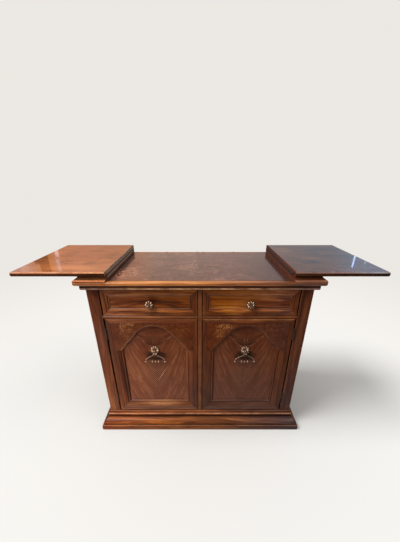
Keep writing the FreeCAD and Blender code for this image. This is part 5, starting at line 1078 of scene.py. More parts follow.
# a flat border keeps the shading of the wide faces clean
for side, tag in ((-1, "left"), (1, "right")):
    s = Shape()
    rings = [leaf_ring(s, o, z, t, inner) for o, z, t, inner in leaf]
    n = len(rings[0])
    mats = []
    for i in range(n):
        if i == 0:
            mats.append(3)            # inner edge
        elif i in (1, 2):
            mats.append(2)            # front edge
        elif 3 <= i <= 9:
            mats.append(1)            # outer edge
        else:
            mats.append(2)            # back edge
    for k, (a, b) in enumerate(zip(rings, rings[1:])):
        # the veneer turns over the upper arris, drawn in the arris material with a painted highlight
        s.skin(a, b, mats if k < len(rings) - 7 else [3 if m == 3 else 4 for m in mats])
    low = leaf_ring(s, 7.2, 863.3, 0.0, 382.0)
    top = leaf_ring(s, 7.2, 882.3, 0.0, 383.5)
    s.skin(rings[0], low, 0)
    s.skin(rings[-1], top, 0)
    s.lid(low, 0)
    s.lid(top, 0)
    if side < 0:
        s.mirror()
    s.make("leaf_panel_" + tag, [M["leaf_" + tag], M["leaf_y"], M["leaf_x"], M["inner_" + tag],
                                    M["arris_" + tag]], "leaf_" + tag, "walnut_veneer",
           ["leaf_board_" + tag], sharp=40)

# =====================================================================
# Drawer fronts
# =====================================================================

steps = [  # (inset, depth, tone) from the outer edge to the sunk panel
    (0.0, 20.0, -0.4), (0.0, 1.4, -0.5), (0.25, 0.5, 0.6), (0.8, 0.05, 0.9), (1.6, 0.0, 0.3),
    (13.6, 0.0, 0.0), (14.6, 0.0, 0.7), (15.0, 0.5, 0.3), (15.2, 1.6, -1.0), (15.9, 1.8, -0.9),
    (17.0, 1.7, 0.1), (19.6, 2.4, 0.0), (22.4, 3.5, 0.0), (25.2, 5.0, 0.0), (27.6, 6.4, -0.2), (28.4, 7.6, -1.0),
    (29.0, 7.6, -0.8), (29.5, 6.7, 0.5), (30.4, 6.1, 0.9), (31.6, 6.2, 0.9), (32.5, 6.9, 0.4), (33.0, 8.0, -1.0),
    (36.0, 8.0, -0.2), (42.0, 8.0, 0.0)]
for side, tag in ((-1, "left"), (1, "right")):
    s = Shape()
    rings = []
    for inset, depth, tone in steps:
        x0, x1, z0, z1 = 12.0 + inset, 420.0 - inset, 675.0 + inset, 796.0 - inset
        y = -202.0 + depth
        rings.append(s.ring([(x0, y, z0), (x1, y, z0), (x1, y, z1), (x0, y, z1)], tone))
    for k, (a, b) in enumerate(zip(rings, rings[1:])):
        s.skin(a, b, [0, 1, 0, 1] if k < len(rings) - 3 else 0)
    s.lid(rings[0], 0)
    s.lid(rings[-1], 0)
    if side < 0:
        s.mirror()
    s.make("drawer_front_board_" + tag, [M["drawer_x"], M["drawer_end"]], "drawer_" + tag, "walnut_veneer",
           ["drawer_front_" + tag])

# =====================================================================
# Doors: frame, planted moulding, arched spandrel board, veneered field
# =====================================================================

X0, X1, Z0, Z1 = 12.0, 418.5, 103.0, 656.0
BORDER = {"lock": 19.0, "hinge": 20.5, "foot": 21.0, "head": 19.0}
FX0, FX1, FZ0, SHOULDER = 66.0, 360.0, 164.0, 488.0
FACE = -202.0

flat = [(0.0, 20.0, -0.3), (0.0, 1.4, -0.4), (0.015, 0.5, 0.7), (0.045, 0.05, 0.9), (0.09, 0.0, 0.2),
        (0.92, 0.0, 0.0), (0.975, 0.15, -0.3), (1.0, 0.8, -1.0), (1.0, 20.0, 0.0)]
mould = [(0.0, 20.0, 0.0), (0.0, 1.4, -0.9), (0.020, 0.7, -0.5), (0.045, 0.45, 0.2), (0.10, 0.5, 0.2),
         (0.22, 1.1, 0.1), (0.36, 2.2, 0.0), (0.50, 3.7, 0.0), (0.62, 5.2, 0.0), (0.665, 6.0, -0.4), (0.675, 7.6, -1.0),
         (0.725, 7.8, -1.0), (0.735, 6.6, -0.2), (0.77, 5.7, 0.15), (0.82, 5.4, 0.25), (0.87, 5.7, 0.15),
         (0.925, 6.9, 0.0), (0.975, 8.6, -0.2), (1.0, 10.0, -0.6), (1.0, 11.9, -0.8), (0.56, 11.9, 0.0), (0.56, 20.0, 0.0)]

out_c = {"ll": (X0, Z0), "lr": (X1, Z0), "ur": (X1, Z1), "ul": (X0, Z1)}
mid_c = {"ll": (X0 + BORDER["lock"], Z0 + BORDER["foot"]), "lr": (X1 - BORDER["hinge"], Z0 + BORDER["foot"]),
         "ur": (X1 - BORDER["hinge"], Z1 - BORDER["head"]), "ul": (X0 + BORDER["lock"], Z1 - BORDER["head"])}
in_c = {"ll": (FX0, FZ0), "lr": (FX1, FZ0), "ur": (FX1, SHOULDER), "ul": (FX0, SHOULDER)}
mid_top = {"ul": (mid_c["ul"][0], SHOULDER), "ur": (mid_c["ur"][0], SHOULDER)}

MID = 213.0


def arc_through(p0, p1, radius, n):
    length = math.dist(p0, p1)
    h = math.sqrt(radius * radius - length * length / 4)
    dx, dz = (p1[0] - p0[0]) / length, (p1[1] - p0[1]) / length
    c = ((p0[0] + p1[0]) / 2 + dz * h, (p0[1] + p1[1]) / 2 - dx * h)
    a0, a1 = math.atan2(p0[1] - c[1], p0[0] - c[0]), math.atan2(p1[1] - c[1], p1[0] - c[0])
    return [(c[0] + radius * math.cos(a0 + (a1 - a0) * k / n), c[1] + radius * math.sin(a0 + (a1 - a0) * k / n))
            for k in range(n + 1)]


def arch_path(start, shoulder, spring, crown, radius):
    left = [start, shoulder, lerp(shoulder, spring, 0.5)] + arc_through(spring, crown, radius, 14)
    return left + [(-u, z) for u, z in reversed(left[:-1])]


ARRIS = arch_path((-182.0, 488.0), (-163.0, 488.0), (-92.0, 572.0), (0.0, 627.0), 112.0)
INNER = arch_path((-182.0, 484.6), (-147.0, 484.6), (-80.0, 563.0), (0.0, 611.0), 98.0)
# tones across the arch moulding: a painted highlight on the outer arris and painted shade in the groove and the hollow
arch_steps = [(0.0, 0.0, 0.2), (0.04, 0.10, 0.8), (0.10, 0.40, 1.0), (0.15, 1.0, 0.5), (0.19, 1.9, -0.6), (0.23, 2.2, -0.7),
              (0.28, 2.0, 0.0), (0.34, 1.9, 0.5), (0.44, 2.5, 0.2), (0.56, 3.7, 0.0), (0.68, 5.3, -0.1), (0.80, 7.2, -0.15),
              (0.90, 9.2, -0.2), (1.0, 11.2, -0.3)]

for side, tag in ((-1, "left"), (1, "right")):
    door = "door_" + tag
    # stiles
    for which, lo, hi in (("lock", "ll", "ul"), ("hinge", "lr", "ur")):
        s = Shape()
        strip(s, out_c[lo], mid_c[lo], out_c[hi], mid_c[hi], flat, FACE, 0)
        strip(s, mid_c[lo], in_c[lo], mid_top[hi], in_c[hi], mould, FACE, 0)
        if side < 0:
            s.mirror()
        s.make("door_stile_%s_%s" % (which, tag), [M["door_z_" + tag]], door, "walnut", ["door_stiles_" + tag])
    # bottom rail
    s = Shape()
    strip(s, out_c["ll"], mid_c["ll"], out_c["lr"], mid_c["lr"], flat, FACE, 0)
    strip(s, mid_c["ll"], in_c["ll"], mid_c["lr"], in_c["lr"], mould, FACE, 0)
    if side < 0:
        s.mirror()
    s.make("door_bottom_rail_" + tag, [M["foot_" + tag]], door, "walnut", ["door_rails_" + tag])
    # top rail with the arched spandrel board
    s = Shape()
    strip(s, out_c["ul"], mid_c["ul"], out_c["ur"], mid_c["ur"], flat, FACE, 0)
    right_u = X1 - BORDER["hinge"] - MID
    a_path = [(u, z) for u, z in ARRIS[:-1]] + [(right_u, 488.0)]
    b_path = [(u, z) for u, z in INNER[:-1]] + [(right_u, 484.6)]
    rows = []
    for t, depth, tone in arch_steps:
        rows.append([s.point((MID + a[0] + (b[0] - a[0]) * t, FACE + depth, a[1] + (b[1] - a[1]) * t), tone)
                     for a, b in zip(a_path, b_path)])
    for ra, rb in zip(rows, rows[1:]):
        s.skin(ra, rb, 2, closed=False)
    # spandrel face, flush with the frame, with a fine groove round it
    top_l, top_r = mid_c["ul"], mid_c["ur"]
    g0 = [(top_l[0], top_l[1]), (top_r[0], top_r[1])]
    rim_out = [s.point((top_r[0], FACE + 0.8, 488.0), -1.0), s.point((top_r[0], FACE + 0.8, top_r[1]), -1.0),
               s.point((top_l[0], FACE + 0.8, top_l[1]), -1.0), s.point((top_l[0], FACE + 0.8, 488.0), -1.0)]
    inset = 0.9
    rim_in = [s.point((top_r[0] - inset, FACE, 488.0), -0.2), s.point((top_r[0] - inset, FACE, top_r[1] - inset), -0.2),
              s.point((top_l[0] + inset, FACE, top_l[1] - inset), -0.2), s.point((top_l[0] + inset, FACE, 488.0), -0.2)]
    s.skin(rim_out, rim_in, 1, closed=False)
    s.face([rows[0][0], rim_in[3], rim_out[3]], 1)
    s.face([rows[0][-1], rim_out[0], rim_in[0]], 1)
    s.face([rim_in[0], rim_in[1], rim_in[2], rim_in[3]] + rows[0], 1)
    # back of the board
    back_y = FACE + 11.9
    back_path = [s.point((MID + u, back_y, z), -0.5) for u, z in b_path]
    s.skin(rows[-1], back_path, 2, closed=False)
    b_tr = s.point((top_r[0], back_y, top_r[1]))
    b_tl = s.point((top_l[0], back_y, top_l[1]))
    s.face(back_path + [b_tr, b_tl], 1)
    s.face([rim_out[1], rim_out[2], b_tl, b_tr], 1)
    s.face([rim_out[2], rim_out[3], rows[0][0]] + [r[0] for r in rows[1:]] + [back_path[0], b_tl], 1)
    s.face([rim_out[1], b_tr, back_path[-1]] + [r[-1] for r in reversed(rows[1:])] + [rows[0][-1], rim_out[0]], 1)
    # the rail's back part, behind the board
    extrude(s, [(-190.0, 634.2, 0), (-182.0, 634.2, 0), (-182.0, 637.0, 0), (-190.0, 637.0, 0)], "x",
            ((top_l[0] + 0.5, 0), (top_r[0] - 0.5, 0)), 0)
    if side < 0:
        s.mirror()
    s.make("door_arched_rail_" + tag, [M["head_" + tag], M["burl"], M["arch_" + tag]], door, "walnut", ["door_rails_" + tag])
    # field
    s = Shape()
    rings = []
    for inset, y, t in ((1.2, -184.0, 0), (0.0, -185.0, 0), (0.0, -189.0, 0), (1.2, -190.0, 0), (14.0, -190.0, -0.55),
                        (20.0, -190.0, -0.12), (30.0, -190.0, 0.0)):
        xa, xb, za, zb = 50.3 + inset, 375.7 - inset, 148.3 + inset, 633.7 - inset
        rings.append(s.ring([(xa, y, za), (xb, y, za), (xb, y, zb), (xa, y, zb)], t))
    s.skins(rings, 0)
    s.lid(rings[0], 1)
    s.lid(rings[-1], 0)
    if side < 0:
        s.mirror()
    s.make("door_field_" + tag, [M["field"], M["ply"]], door, "walnut_veneer", ["door_panel_" + tag])

# =====================================================================
# Brass: flower knobs, rosettes, bails
# =====================================================================


def flower(s, cx, y_back, cz, radius, petals, low, high, centre, dome=0.0, n_per=10, mat=0):
    """A cast flower facing -Y: petals round a button. Heights are from y_back towards the viewer."""
    n = petals * n_per
    ts = [0.10, 0.17, 0.22, 0.25, 0.28, 0.31, 0.36, 0.43, 0.51, 0.60, 0.69, 0.78, 0.86, 0.92, 0.965, 1.0]
    rows = []
    for t in ts:
        row = []
        for k in range(n):
            a = 2 * math.pi * k / n
            c = abs(math.cos(petals * a / 2))
            if t <= 0.25:
                h = centre - (centre - high) * 0.6 * (t / 0.25) ** 3
                r = radius * t
                tone = 0.35 - 0.5 * (t / 0.25)
            else:
                u = (t - 0.28) / 0.72
                bulge = max(0.0, math.sin(math.pi * min(1.0, max(0.0, u) * 0.86 + 0.10))) ** 0.65
                ridge = 0.18 + 0.82 * c ** 0.75
                h = low + (high - low) * bulge * ridge + dome * (1 - t * t)
                r = radius * (0.28 + (t - 0.28) * (0.88 + 0.12 * c ** 0.7) if t > 0.28 else t)
                tone = -1.0 if t <= 0.31 else (-0.9 + 2.1 * c ** 0.6 * bulge)
                if t > 0.95:
                    h = low * (1 - (t - 0.95) / 0.05 * 0.5) + (h - low) * 0.35
            row.append(s.point((cx + r * math.cos(a), y_back - h, cz + r * math.sin(a)), max(-1.0, min(1.0, tone))))
        rows.append(row)
    tip = s.point((cx, y_back - centre, cz), 0.35)
    for k in range(n):
        s.face([tip, rows[0][k], rows[0][(k + 1) % n]], mat)
    s.skins(rows, mat)
    back = []
    for k in range(n):
        a = 2 * math.pi * k / n
        c = abs(math.cos(petals * a / 2))
        r = radius * (0.28 + 0.72 * (0.88 + 0.12 * c ** 0.7)) * 0.985
        back.append(s.point((cx + r * math.cos(a), y_back, cz + r * math.sin(a)), -0.8))
    s.skin(rows[-1], back, mat)
    s.lid(back, mat)


def smooth_path(points, steps):
    """More stations on a line of (x, z, radius, tone), as a Catmull-Rom curve."""
    ends = [points[0]] + list(points) + [points[-1]]
    out = []
    for i in range(1, len(ends) - 2):
        p0, p1, p2, p3 = ends[i - 1:i + 3]
        for k in range(steps):
            t = k / steps
            out.append(tuple(0.5 * (2 * b + (c - a) * t + (2 * a - 5 * b + 4 * c - d) * t * t + (3 * b - a - 3 * c + d) * t ** 3)
                             for a, b, c, d in zip(p0, p1, p2, p3)))
    return out + [points[-1]]


# one arm of a bail: out from under the hub, down on a bow, and into the end of the bar
ARM = smooth_path([(1.8, 461.0, 2.5, -0.5), (8.0, 459.4, 2.2, -0.3), (15.0, 456.6, 1.9, -0.1), (22.0, 453.0, 1.8, 0.0),
                   (30.0, 448.4, 1.9, 0.1), (37.0, 443.8, 2.2, 0.2), (42.0, 439.0, 2.4, 0.4), (44.8, 432.6, 2.2, 0.0),
                   (45.8, 426.0, 2.0, -0.3)], 3)

for side, tag in ((-1, "left"), (1, "right")):
    # drawer knob
    s = Shape()
    flower(s, 216.0, -207.6, 731.0, 19.2, 8, 2.6, 8.4, 10.4, dome=2.0)
    lathe(s, (216.0, 0, 731.0), "y",
          [(-207.6, 9.5, -0.9), (-206.0, 6.2, -0.8), (-203.0, 5.2, -0.6), (-199.4, 5.6, -0.4), (-198.0, 7.0, 0.2),
           (-197.2, 9.4, 0.5), (-195.6, 10.0, 0.4), (-194.6, 10.0, -0.6), (-194.05, 9.6, -1.0)], 40)
    lathe(s, (216.0, 0, 731.0), "y", [(-195.0, 2.0, 0), (-181.8, 2.0, 0)], 20)
    lathe(s, (216.0, 0, 731.0), "y", [(-181.7, 3.6, 0.0), (-181.3, 4.0, 0.5), (-179.4, 4.0, 0.5), (-179.0, 3.6, 0.0)], 6)
    lathe(s, (216.0, 0, 731.0), "y", [(-179.2, 2.0, 0), (-176.4, 2.0, 0), (-176.0, 1.5, 0.3)], 20)
    if side < 0:
        s.mirror()
    s.make("knob_flower_" + tag, [M["knob_brass"]], "drawer_" + tag, "antique_brass", ["drawer_knob_" + tag], sharp=50)

    # rosette of the pull
    s = Shape()
    flower(s, 213.0, -190.02, 483.0, 21.5, 10, 2.6, 7.6, 8.0)
    lathe(s, (213.0, 0, 483.0), "y",
          [(-206.2, 0, -0.2), (-206.0, 1.8, 0.0), (-205.2, 3.6, 0.0), (-203.6, 5.0, -0.2), (-201.6, 5.7, -0.5),
           (-200.2, 5.9, -0.8), (-199.6, 6.5, -0.2), (-198.6, 6.9, -0.2), (-197.6, 6.5, -0.4), (-196.6, 6.0, -0.9),
           (-192.0, 6.0, -1.0)], 36)
    for ear in (-1, 1):
        xa, xb = 213.0 + ear * 5.5, 213.0 + ear * 8.0
        xa, xb = min(xa, xb), max(xa, xb)
        cheek = [(-203.0 + 3.1 * math.cos(math.radians(a)), 467.5 + 3.1 * math.sin(math.radians(a)), 0.5)
                 for a in range(100, 261, 20)]
        cheek += [(-200.0, 464.6, 0.1), (-193.5, 464.9, -0.6), (-193.5, 471.0, -0.6), (-199.0, 470.9, 0.1)]
        extrude(s, cheek, "x", ((xa, 0.0), (xa + 0.4, 0.3), (xb - 0.4, 0.3), (xb, 0.0)), 0)
    lathe(s, (213.0, -203.0, 467.5), "x",
          [(-8.8, 0, 0.9), (-8.6, 1.4, 0.9), (-8.1, 2.0, 0.6), (-7.9, 1.6, -0.3), (7.9, 1.6, -0.3), (8.1, 2.0, 0.6),
           (8.6, 1.4, 0.9), (8.8, 0, 0.9)], 20)
    if side < 0:
        s.mirror()
    s.make("pull_flower_" + tag, [M["brass_" + tag]], "door_" + tag, "antique_brass", ["pull_rosette_" + tag], sharp=50)

    # bail
    s = Shape()
    y0 = -203.0
    lathe(s, (213.0, y0, 467.5), "x",
          [(-5.0, 1.72, -0.9), (-5.0, 3.6, -0.3), (-4.6, 4.2, 0.2), (-3.6, 4.2, 0.1), (-3.1, 3.7, -0.8), (-2.4, 3.9, -0.1),
           (2.4, 3.9, -0.1), (3.1, 3.7, -0.8), (3.6, 4.2, 0.1), (4.6, 4.2, 0.2), (5.0, 3.6, -0.3), (5.0, 1.72, -0.9)], 28)
    # shield under the hub
    plate = [(-3.4, 465.5), (-4.3, 461.5), (-3.6, 457.6), (-1.6, 454.8), (0.0, 453.9), (1.6, 454.8), (3.6, 457.6),
             (4.3, 461.5), (3.4, 465.5)]
    front_ring = [s.point((213.0 + u, y0 - 1.9, z), -0.4) for u, z in plate]
    mid_ring = [s.point((213.0 + u * 1.12, y0 - 1.0, 460.0 + (z - 460.0) * 1.06), -0.6) for u, z in plate]
    mid_ring2 = [s.point((213.0 + u * 1.12, y0 + 1.0, 460.0 + (z - 460.0) * 1.06), -0.3) for u, z in plate]
    back_ring = [s.point((213.0 + u, y0 + 1.9, z), -0.6) for u, z in plate]
    s.skins([front_ring, mid_ring, mid_ring2, back_ring], 0)
    s.lid(front_ring, 0)
    s.lid(back_ring, 0)
    for ear in (-1, 1):
        path, radii, tones = [], [], []
        for u, z, r, tone in ARM:
            path.append((213.0 + ear * u, y0, z))
            radii.append(r)
            tones.append(tone)
        tube(s, path, radii, 14, 0, tones)
    bar = [(-52.0, 0, 0.8), (-51.8, 1.5, 0.8), (-51.0, 2.4, 0.6)]
    for c, half, r in ((-46.0, 5.0, 4.0), (-14.6, 4.0, 4.9), (0.0, 4.0, 5.1), (14.6, 4.0, 4.9), (46.0, 5.0, 4.0)):
        if c > -46:
            gap = (bar[-1][0] + c - half) / 2
            for w in ((-8.0, -3.0, 3.0, 8.0) if abs(c) > 20 or c < -14 else (-1.5, 1.5)):
                bar += [(gap + w - 1.1, 1.9, -1.0), (gap + w - 0.6, 2.6, -0.2), (gap + w + 0.6, 2.6, -0.2),
                        (gap + w + 1.1, 1.9, -1.0)]
        for a in (-66, -48, -32, -16, 0, 16, 32, 48, 66):
            bar.append((c + half * math.sin(math.radians(a)), max(1.9, r * math.cos(math.radians(a))),
                        -0.8 + 1.2 * math.cos(math.radians(a)) ** 1.5))
    bar += [(51.0, 2.4, 0.6), (51.8, 1.5, 0.8), (52.0, 0, 0.8)]
    lathe(s, (213.0, y0, 424.0), "x", bar, 26)
    if side < 0:
        s.mirror()
    s.make("bail_pull_" + tag, [M["brass_" + tag]], "pull_" + tag, "antique_brass", ["pull_bail_" + tag], sharp=46)

# =====================================================================
# CAD nodes that stay, with their finish
# =====================================================================

STAYS = {
    "plinth_frame_rear": "inside_x", "plinth_blocks": "inside_z", "bottom_panel": "inside_x",
    "side_panel_left": "side", "side_panel_right": "side", "centre_partition": "inside_z", "back_panel": "ply",
    "dust_panels": "inside_x", "drawer_guides": "drawer_y", "shelf_left": "inside_x", "shelf_right": "inside_x",
    "shelf_pins": "steel", "top_felt_pads": "felt", "leaf_hinge_fixed_left": "piano_left", "leaf_hinge_fixed_right": "piano_right",
    "leaf_hinge_moving_left": "piano_left", "leaf_hinge_moving_right": "piano_right", "door_hinges_fixed_left": "dull",
    "door_hinges_fixed_right": "dull", "door_hinges_moving_left": "dull", "door_hinges_moving_right": "dull",
    "door_catches": "catch",
}
for tag in ("left", "right"):
    STAYS["drawer_sides_" + tag] = "drawer_y"
    STAYS["drawer_back_" + tag] = "drawer_wx"
    STAYS["drawer_bottom_" + tag] = "ply_x"
    STAYS["door_strike_" + tag] = "steel"
for node, key in STAYS.items():
    obj = NODES[node]
    if not obj.material_slots:
        obj.data.materials.append(None)
    for ms in obj.material_slots:
        ms.link = "OBJECT"
        ms.material = M[key]

# =====================================================================
# Stage, light, camera
# =====================================================================


def emission(name, colour, strength=1.0):
    m = bpy.data.materials.new(name)
    m.use_nodes = True
    t = m.node_tree
    t.nodes.clear()
    e = t.nodes.new("ShaderNodeEmission")
    o = t.nodes.new("ShaderNodeOutputMaterial")
    t.links.new(e.outputs[0], o.inputs[0])
    e.inputs[0].default_value = (*colour, 1)
    e.inputs[1].default_value = strength
    return m


def srgb(r, g, b):
    return tuple((c / 255 / 12.92) if c <= 10 else ((c / 255 + 0.055) / 1.055) ** 2.4 for c in (r, g, b))


BACKDROP = srgb(236, 232, 227)

# floor: takes the shadows near the piece and fades into the backdrop further out
g = Graph("stage_floor")
_, fx, fy, fz = g.position()
fy = g.add(fy, 0.35)
dist = g.math("SQRT", g.add(g.mul(fx, fx), g.mul(fy, fy)))
fade = g.span(dist, 0.7, 3.9)
diff = g.node("ShaderNodeBsdfDiffuse")
diff.inputs[0].default_value = (0.50, 0.495, 0.480, 1)
glow = g.node("ShaderNodeEmission")
glow.inputs[0].default_value = (*BACKDROP, 1)
lift = g.node("ShaderNodeEmission")
lift.inputs[0].default_value = (0.02, 0.0198, 0.0192, 1)
near = g.node("ShaderNodeAddShader")
g.tree.links.new(diff.outputs[0], near.inputs[0])
g.tree.links.new(lift.outputs[0], near.inputs[1])
mixer = g.node("ShaderNodeMixShader")
out = g.node("ShaderNodeOutputMaterial")
g.put(mixer.inputs[0], fade)
g.tree.links.new(near.outputs[0], mixer.inputs[1])
g.tree.links.new(glow.outputs[0], mixer.inputs[2])
g.tree.links.new(mixer.outputs[0], out.inputs[0])
floor_mat = g.mat

mesh = bpy.data.meshes.new("floor")
bm = bmesh.new()
bmesh.ops.create_circle(bm, cap_ends=True, segments=96, radius=9.0)
bm.to_mesh(mesh)
bm.free()
floor = bpy.data.objects.new("floor", mesh)
bpy.context.scene.collection.objects.link(floor)
mesh.materials.append(floor_mat)
floor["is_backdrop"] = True
floor.visible_glossy = False
floor.visible_diffuse = False

mesh = bpy.data.meshes.new("backdrop")
bm = bmesh.new()
bmesh.ops.create_uvsphere(bm, u_segments=64, v_segments=32, radius=8.9)
bm.to_mesh(mesh)
bm.free()
backdrop = bpy.data.objects.new("backdrop", mesh)
bpy.context.scene.collection.objects.link(backdrop)
mesh.materials.append(emission("stage_backdrop", BACKDROP))
for attr in ("visible_diffuse", "visible_glossy", "visible_transmission", "visible_shadow", "visible_volume_scatter"):
    setattr(backdrop, attr, False)
backdrop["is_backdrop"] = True

# what the glossy tops mirror: a wide card behind, warm on the left, cool on the right
g = Graph("card_behind")
_, cx, cy, cz = g.position()


def card_ramp(stops):
    lo, hi = stops[0][0], stops[-1][0]
    f = g.span(cx, lo, hi, smooth=False)
    return g.ramp(f, [((at - lo) / (hi - lo), c) for at, c in stops])


strip_colour = card_ramp([
    (-2.60, (0.95, 0.50, 0.42)), (-2.06, (1.00, 0.50, 0.40)), (-2.00, (1.30, 0.74, 0.58)), (-1.94, (1.16, 0.62, 0.46)),
    (-1.90, (1.00, 0.47, 0.30)), (-1.80, (1.00, 0.40, 0.19)), (-1.68, (1.06, 0.38, 0.10)), (-1.62, (1.08, 0.43, 0.20)), (-1.40, (1.12, 0.48, 0.28)), (-0.80, (1.00, 0.47, 0.28)),
    (-0.50, (0.66, 0.46, 0.36)), (0.0, (0.62, 0.44, 0.38)), (0.60, (0.50, 0.39, 0.36)), (1.00, (0.34, 0.33, 0.35)),
    (1.45, (0.28, 0.32, 0.37)), (1.85, (0.31, 0.45, 0.62)), (2.60, (0.28, 0.45, 0.66))])
lift = g.span(cz, 1.30, 1.42, 0.74, 1.05)
warm_side = g.span(cx, -0.5, -0.9)
factor = g.add(g.mul(lift, warm_side), g.sub(1.0, warm_side))
em = g.node("ShaderNodeEmission")
g.put(em.inputs[0], strip_colour)
g.put(em.inputs[1], factor)
out = g.node("ShaderNodeOutputMaterial")
g.tree.links.new(em.outputs[0], out.inputs[0])
card_mat = g.mat


def card(name, pts, mat):
    mesh = bpy.data.meshes.new(name)
    mesh.from_pydata([tuple(p) for p in pts], [], [tuple(range(len(pts)))])
    obj = bpy.data.objects.new(name, mesh)
    bpy.context.scene.collection.objects.link(obj)
    mesh.materials.append(mat)
    for attr in ("visible_camera", "visible_diffuse", "visible_transmission", "visible_shadow", "visible_volume_scatter"):
        setattr(obj, attr, False)
    mat.cycles.emission_sampling = "NONE"
    obj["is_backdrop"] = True
    return obj


card("card_behind", [(-2.7, 1.5, 0.95), (2.7, 1.5, 0.95), (2.7, 1.5, 1.75), (-2.7, 1.5, 1.75)], card_mat)
card("streak_left", [(-1.592, 1.49, 1.13), (-1.550, 1.49, 1.13), (-1.550, 1.49, 1.30), (-1.592, 1.49, 1.30)],
     emission("streak_left", (1.60, 0.98, 0.92), 1.0))
card("streak_left_low", [(-1.600, 1.49, 1.33), (-1.560, 1.49, 1.33), (-1.560, 1.49, 1.52), (-1.600, 1.49, 1.52)],
     emission("streak_left_low", (1.35, 0.80, 0.72), 1.0))
card("doorway_left", [(-1.90, 1.49, 1.18), (-1.680, 1.49, 1.18), (-1.680, 1.49, 1.385), (-1.84, 1.49, 1.385)],
     emission("doorway_left", (0.16, 0.040, 0.002), 1.0))
card("doorway_left_low", [(-1.795, 1.49, 1.386), (-1.680, 1.49, 1.386), (-1.675, 1.49, 1.66), (-1.775, 1.49, 1.66)],
     emission("doorway_left_low", (0.50, 0.100, 0.0), 1.0))
card("streak_right", [(1.700, 1.49, 1.28), (1.716, 1.49, 1.28), (1.716, 1.49, 1.42), (1.700, 1.49, 1.42)],
     emission("streak_right", (1.9, 2.6, 4.4), 1.0))
card("streak_right_b", [(1.83, 1.49, 1.28), (1.85, 1.49, 1.28), (1.85, 1.49, 1.38), (1.83, 1.49, 1.38)],
     emission("streak_right_b", (0.8, 1.1, 1.2), 1.0))

# soft daylight all round; darker below the horizon, where a room's floor would be
world = bpy.data.worlds.new("studio")
bpy.context.scene.world = world
world.use_nodes = True
wt = world.node_tree
wt.nodes.clear()
tc = wt.nodes.new("ShaderNodeTexCoord")
sep = wt.nodes.new("ShaderNodeSeparateXYZ")
ramp = wt.nodes.new("ShaderNodeValToRGB")
rng = wt.nodes.new("ShaderNodeMapRange")
bg = wt.nodes.new("ShaderNodeBackground")
wo = wt.nodes.new("ShaderNodeOutputWorld")
wt.links.new(tc.outputs["Generated"], sep.inputs[0])
wt.links.new(sep.outputs[2], rng.inputs[0])
rng.inputs[1].default_value = -1.0
rng.inputs[2].default_value = 1.0
wt.links.new(rng.outputs[0], ramp.inputs[0])
SKY = [(-1.0, (1.10, 1.06, 1.02)), (-0.79, (1.00, 0.95, 0.90)), (-0.70, (0.42, 0.39, 0.37)), (-0.57, (0.110, 0.098, 0.090)),
       (-0.30, (0.060, 0.052, 0.048)), (0.0, (0.38, 0.36, 0.34)), (0.24, (0.60, 0.58, 0.56)), (1.0, (0.95, 0.94, 0.92))]
while len(ramp.color_ramp.elements) < len(SKY):
    ramp.color_ramp.elements.new(0.5)
for e, (z, colour) in zip(ramp.color_ramp.elements, SKY):
    e.position = (z + 1.0) / 2.0
    e.color = (*colour, 1.0)
side_fall = wt.nodes.new("ShaderNodeMapRange")
wt.links.new(sep.outputs[0], side_fall.inputs[0])
side_fall.inputs[1].default_value = -0.6
side_fall.inputs[2].default_value = 0.6
side_fall.inputs[3].default_value = 1.10
side_fall.inputs[4].default_value = 0.50
wt.links.new(ramp.outputs[0], bg.inputs[0])
wt.links.new(side_fall.outputs[0], bg.inputs[1])
wt.links.new(bg.outputs[0], wo.inputs[0])


def area(name, where, target, size, size_y, power, colour):
    light = bpy.data.lights.new(name, "AREA")
    light.shape = "RECTANGLE"
    light.size, light.size_y = size, size_y
    light.energy = power
    light.color = colour
    obj = bpy.data.objects.new(name, light)
    bpy.context.scene.collection.objects.link(obj)
    obj.location = where
    way = Vector(target) - Vector(where)
    obj.rotation_mode = "QUATERNION"
    obj.rotation_quaternion = way.to_track_quat("-Z", "Y")
    obj.visible_camera = False
    return obj


# the piece's own lights leave the floor to the sun below, so that the floor stays evenly pale
off_floor = bpy.data.collections.new("lights_off_floor")
off_floor.objects.link(floor)
off_floor.collection_objects[0].light_linking.link_state = "EXCLUDE"

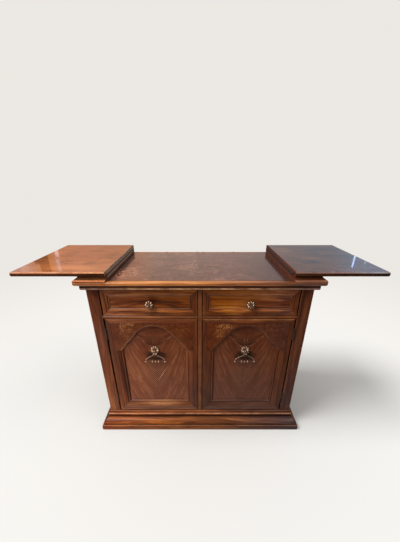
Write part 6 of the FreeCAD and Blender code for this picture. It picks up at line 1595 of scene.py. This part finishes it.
for lamp in (
        area("key", (-1.30, -1.15, 2.85), (0.0, 0.0, 0.55), 1.0, 1.0, 92.0, (1.0, 0.95, 0.89)),
        area("front", (-1.25, -1.9, 0.62), (-0.1, -0.2, 0.25), 0.9, 0.8, 3.0, (1.0, 0.93, 0.86)),
        area("low_left", (-0.68, -0.70, 0.20), (-0.20, -0.20, 0.25), 0.35, 0.30, 4.0, (1.0, 0.93, 0.86)),
        area("rim", (2.4, 0.6, 2.0), (0.0, 0.0, 0.6), 1.4, 1.4, 7.0, (0.84, 0.91, 1.0)),
        # low fills for the right side and the back, below the top and behind the front
        area("side_right", (2.0, 0.42, 0.42), (0.48, 0.10, 0.46), 1.0, 0.6, 13.0, (1.0, 0.95, 0.90)),
        area("behind", (0.1, 2.1, 0.42), (0.0, 0.24, 0.46), 1.3, 0.6, 10.0, (1.0, 0.95, 0.90))):
    lamp.light_linking.receiver_collection = off_floor
    # a fill light near the piece gives no glint of its own
    lamp.visible_glossy = lamp.name in ("key", "rim")

only_floor = bpy.data.collections.new("sun_on_floor")
only_floor.objects.link(floor)
for name, power, spread, way in (("sun", 3.88, 27.0, (0.66, 0.13, -1.0)), ("sun_right", 0.92, 50.0, (-0.80, 0.30, -1.0))):
    sun = bpy.data.lights.new(name, "SUN")
    sun.energy = power
    sun.angle = math.radians(spread)
    sun_obj = bpy.data.objects.new(name, sun)
    bpy.context.scene.collection.objects.link(sun_obj)
    sun_obj.rotation_mode = "QUATERNION"
    sun_obj.rotation_quaternion = Vector(way).to_track_quat("-Z", "Y")
    sun_obj.light_linking.receiver_collection = only_floor

cam_data = bpy.data.cameras.new("camera")
cam = bpy.data.objects.new("camera", cam_data)
bpy.context.scene.collection.objects.link(cam)
cam.location = (0.0, -1.1317, 1.1989)
cam.rotation_euler = (math.radians(65.412), 0, 0)
cam_data.sensor_fit = "AUTO"
cam_data.sensor_width = 36.0
cam_data.lens = 243.89 / 542 * 36
cam_data.shift_x = 0.0
cam_data.shift_y = 0.0443
cam_data.clip_start, cam_data.clip_end = 0.01, 60.0
bpy.context.scene.camera = cam
bpy.context.scene.view_settings.view_transform = "Standard"
bpy.context.scene.view_settings.look = "None"
bpy.context.scene.cycles.use_denoising = True

low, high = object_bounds()
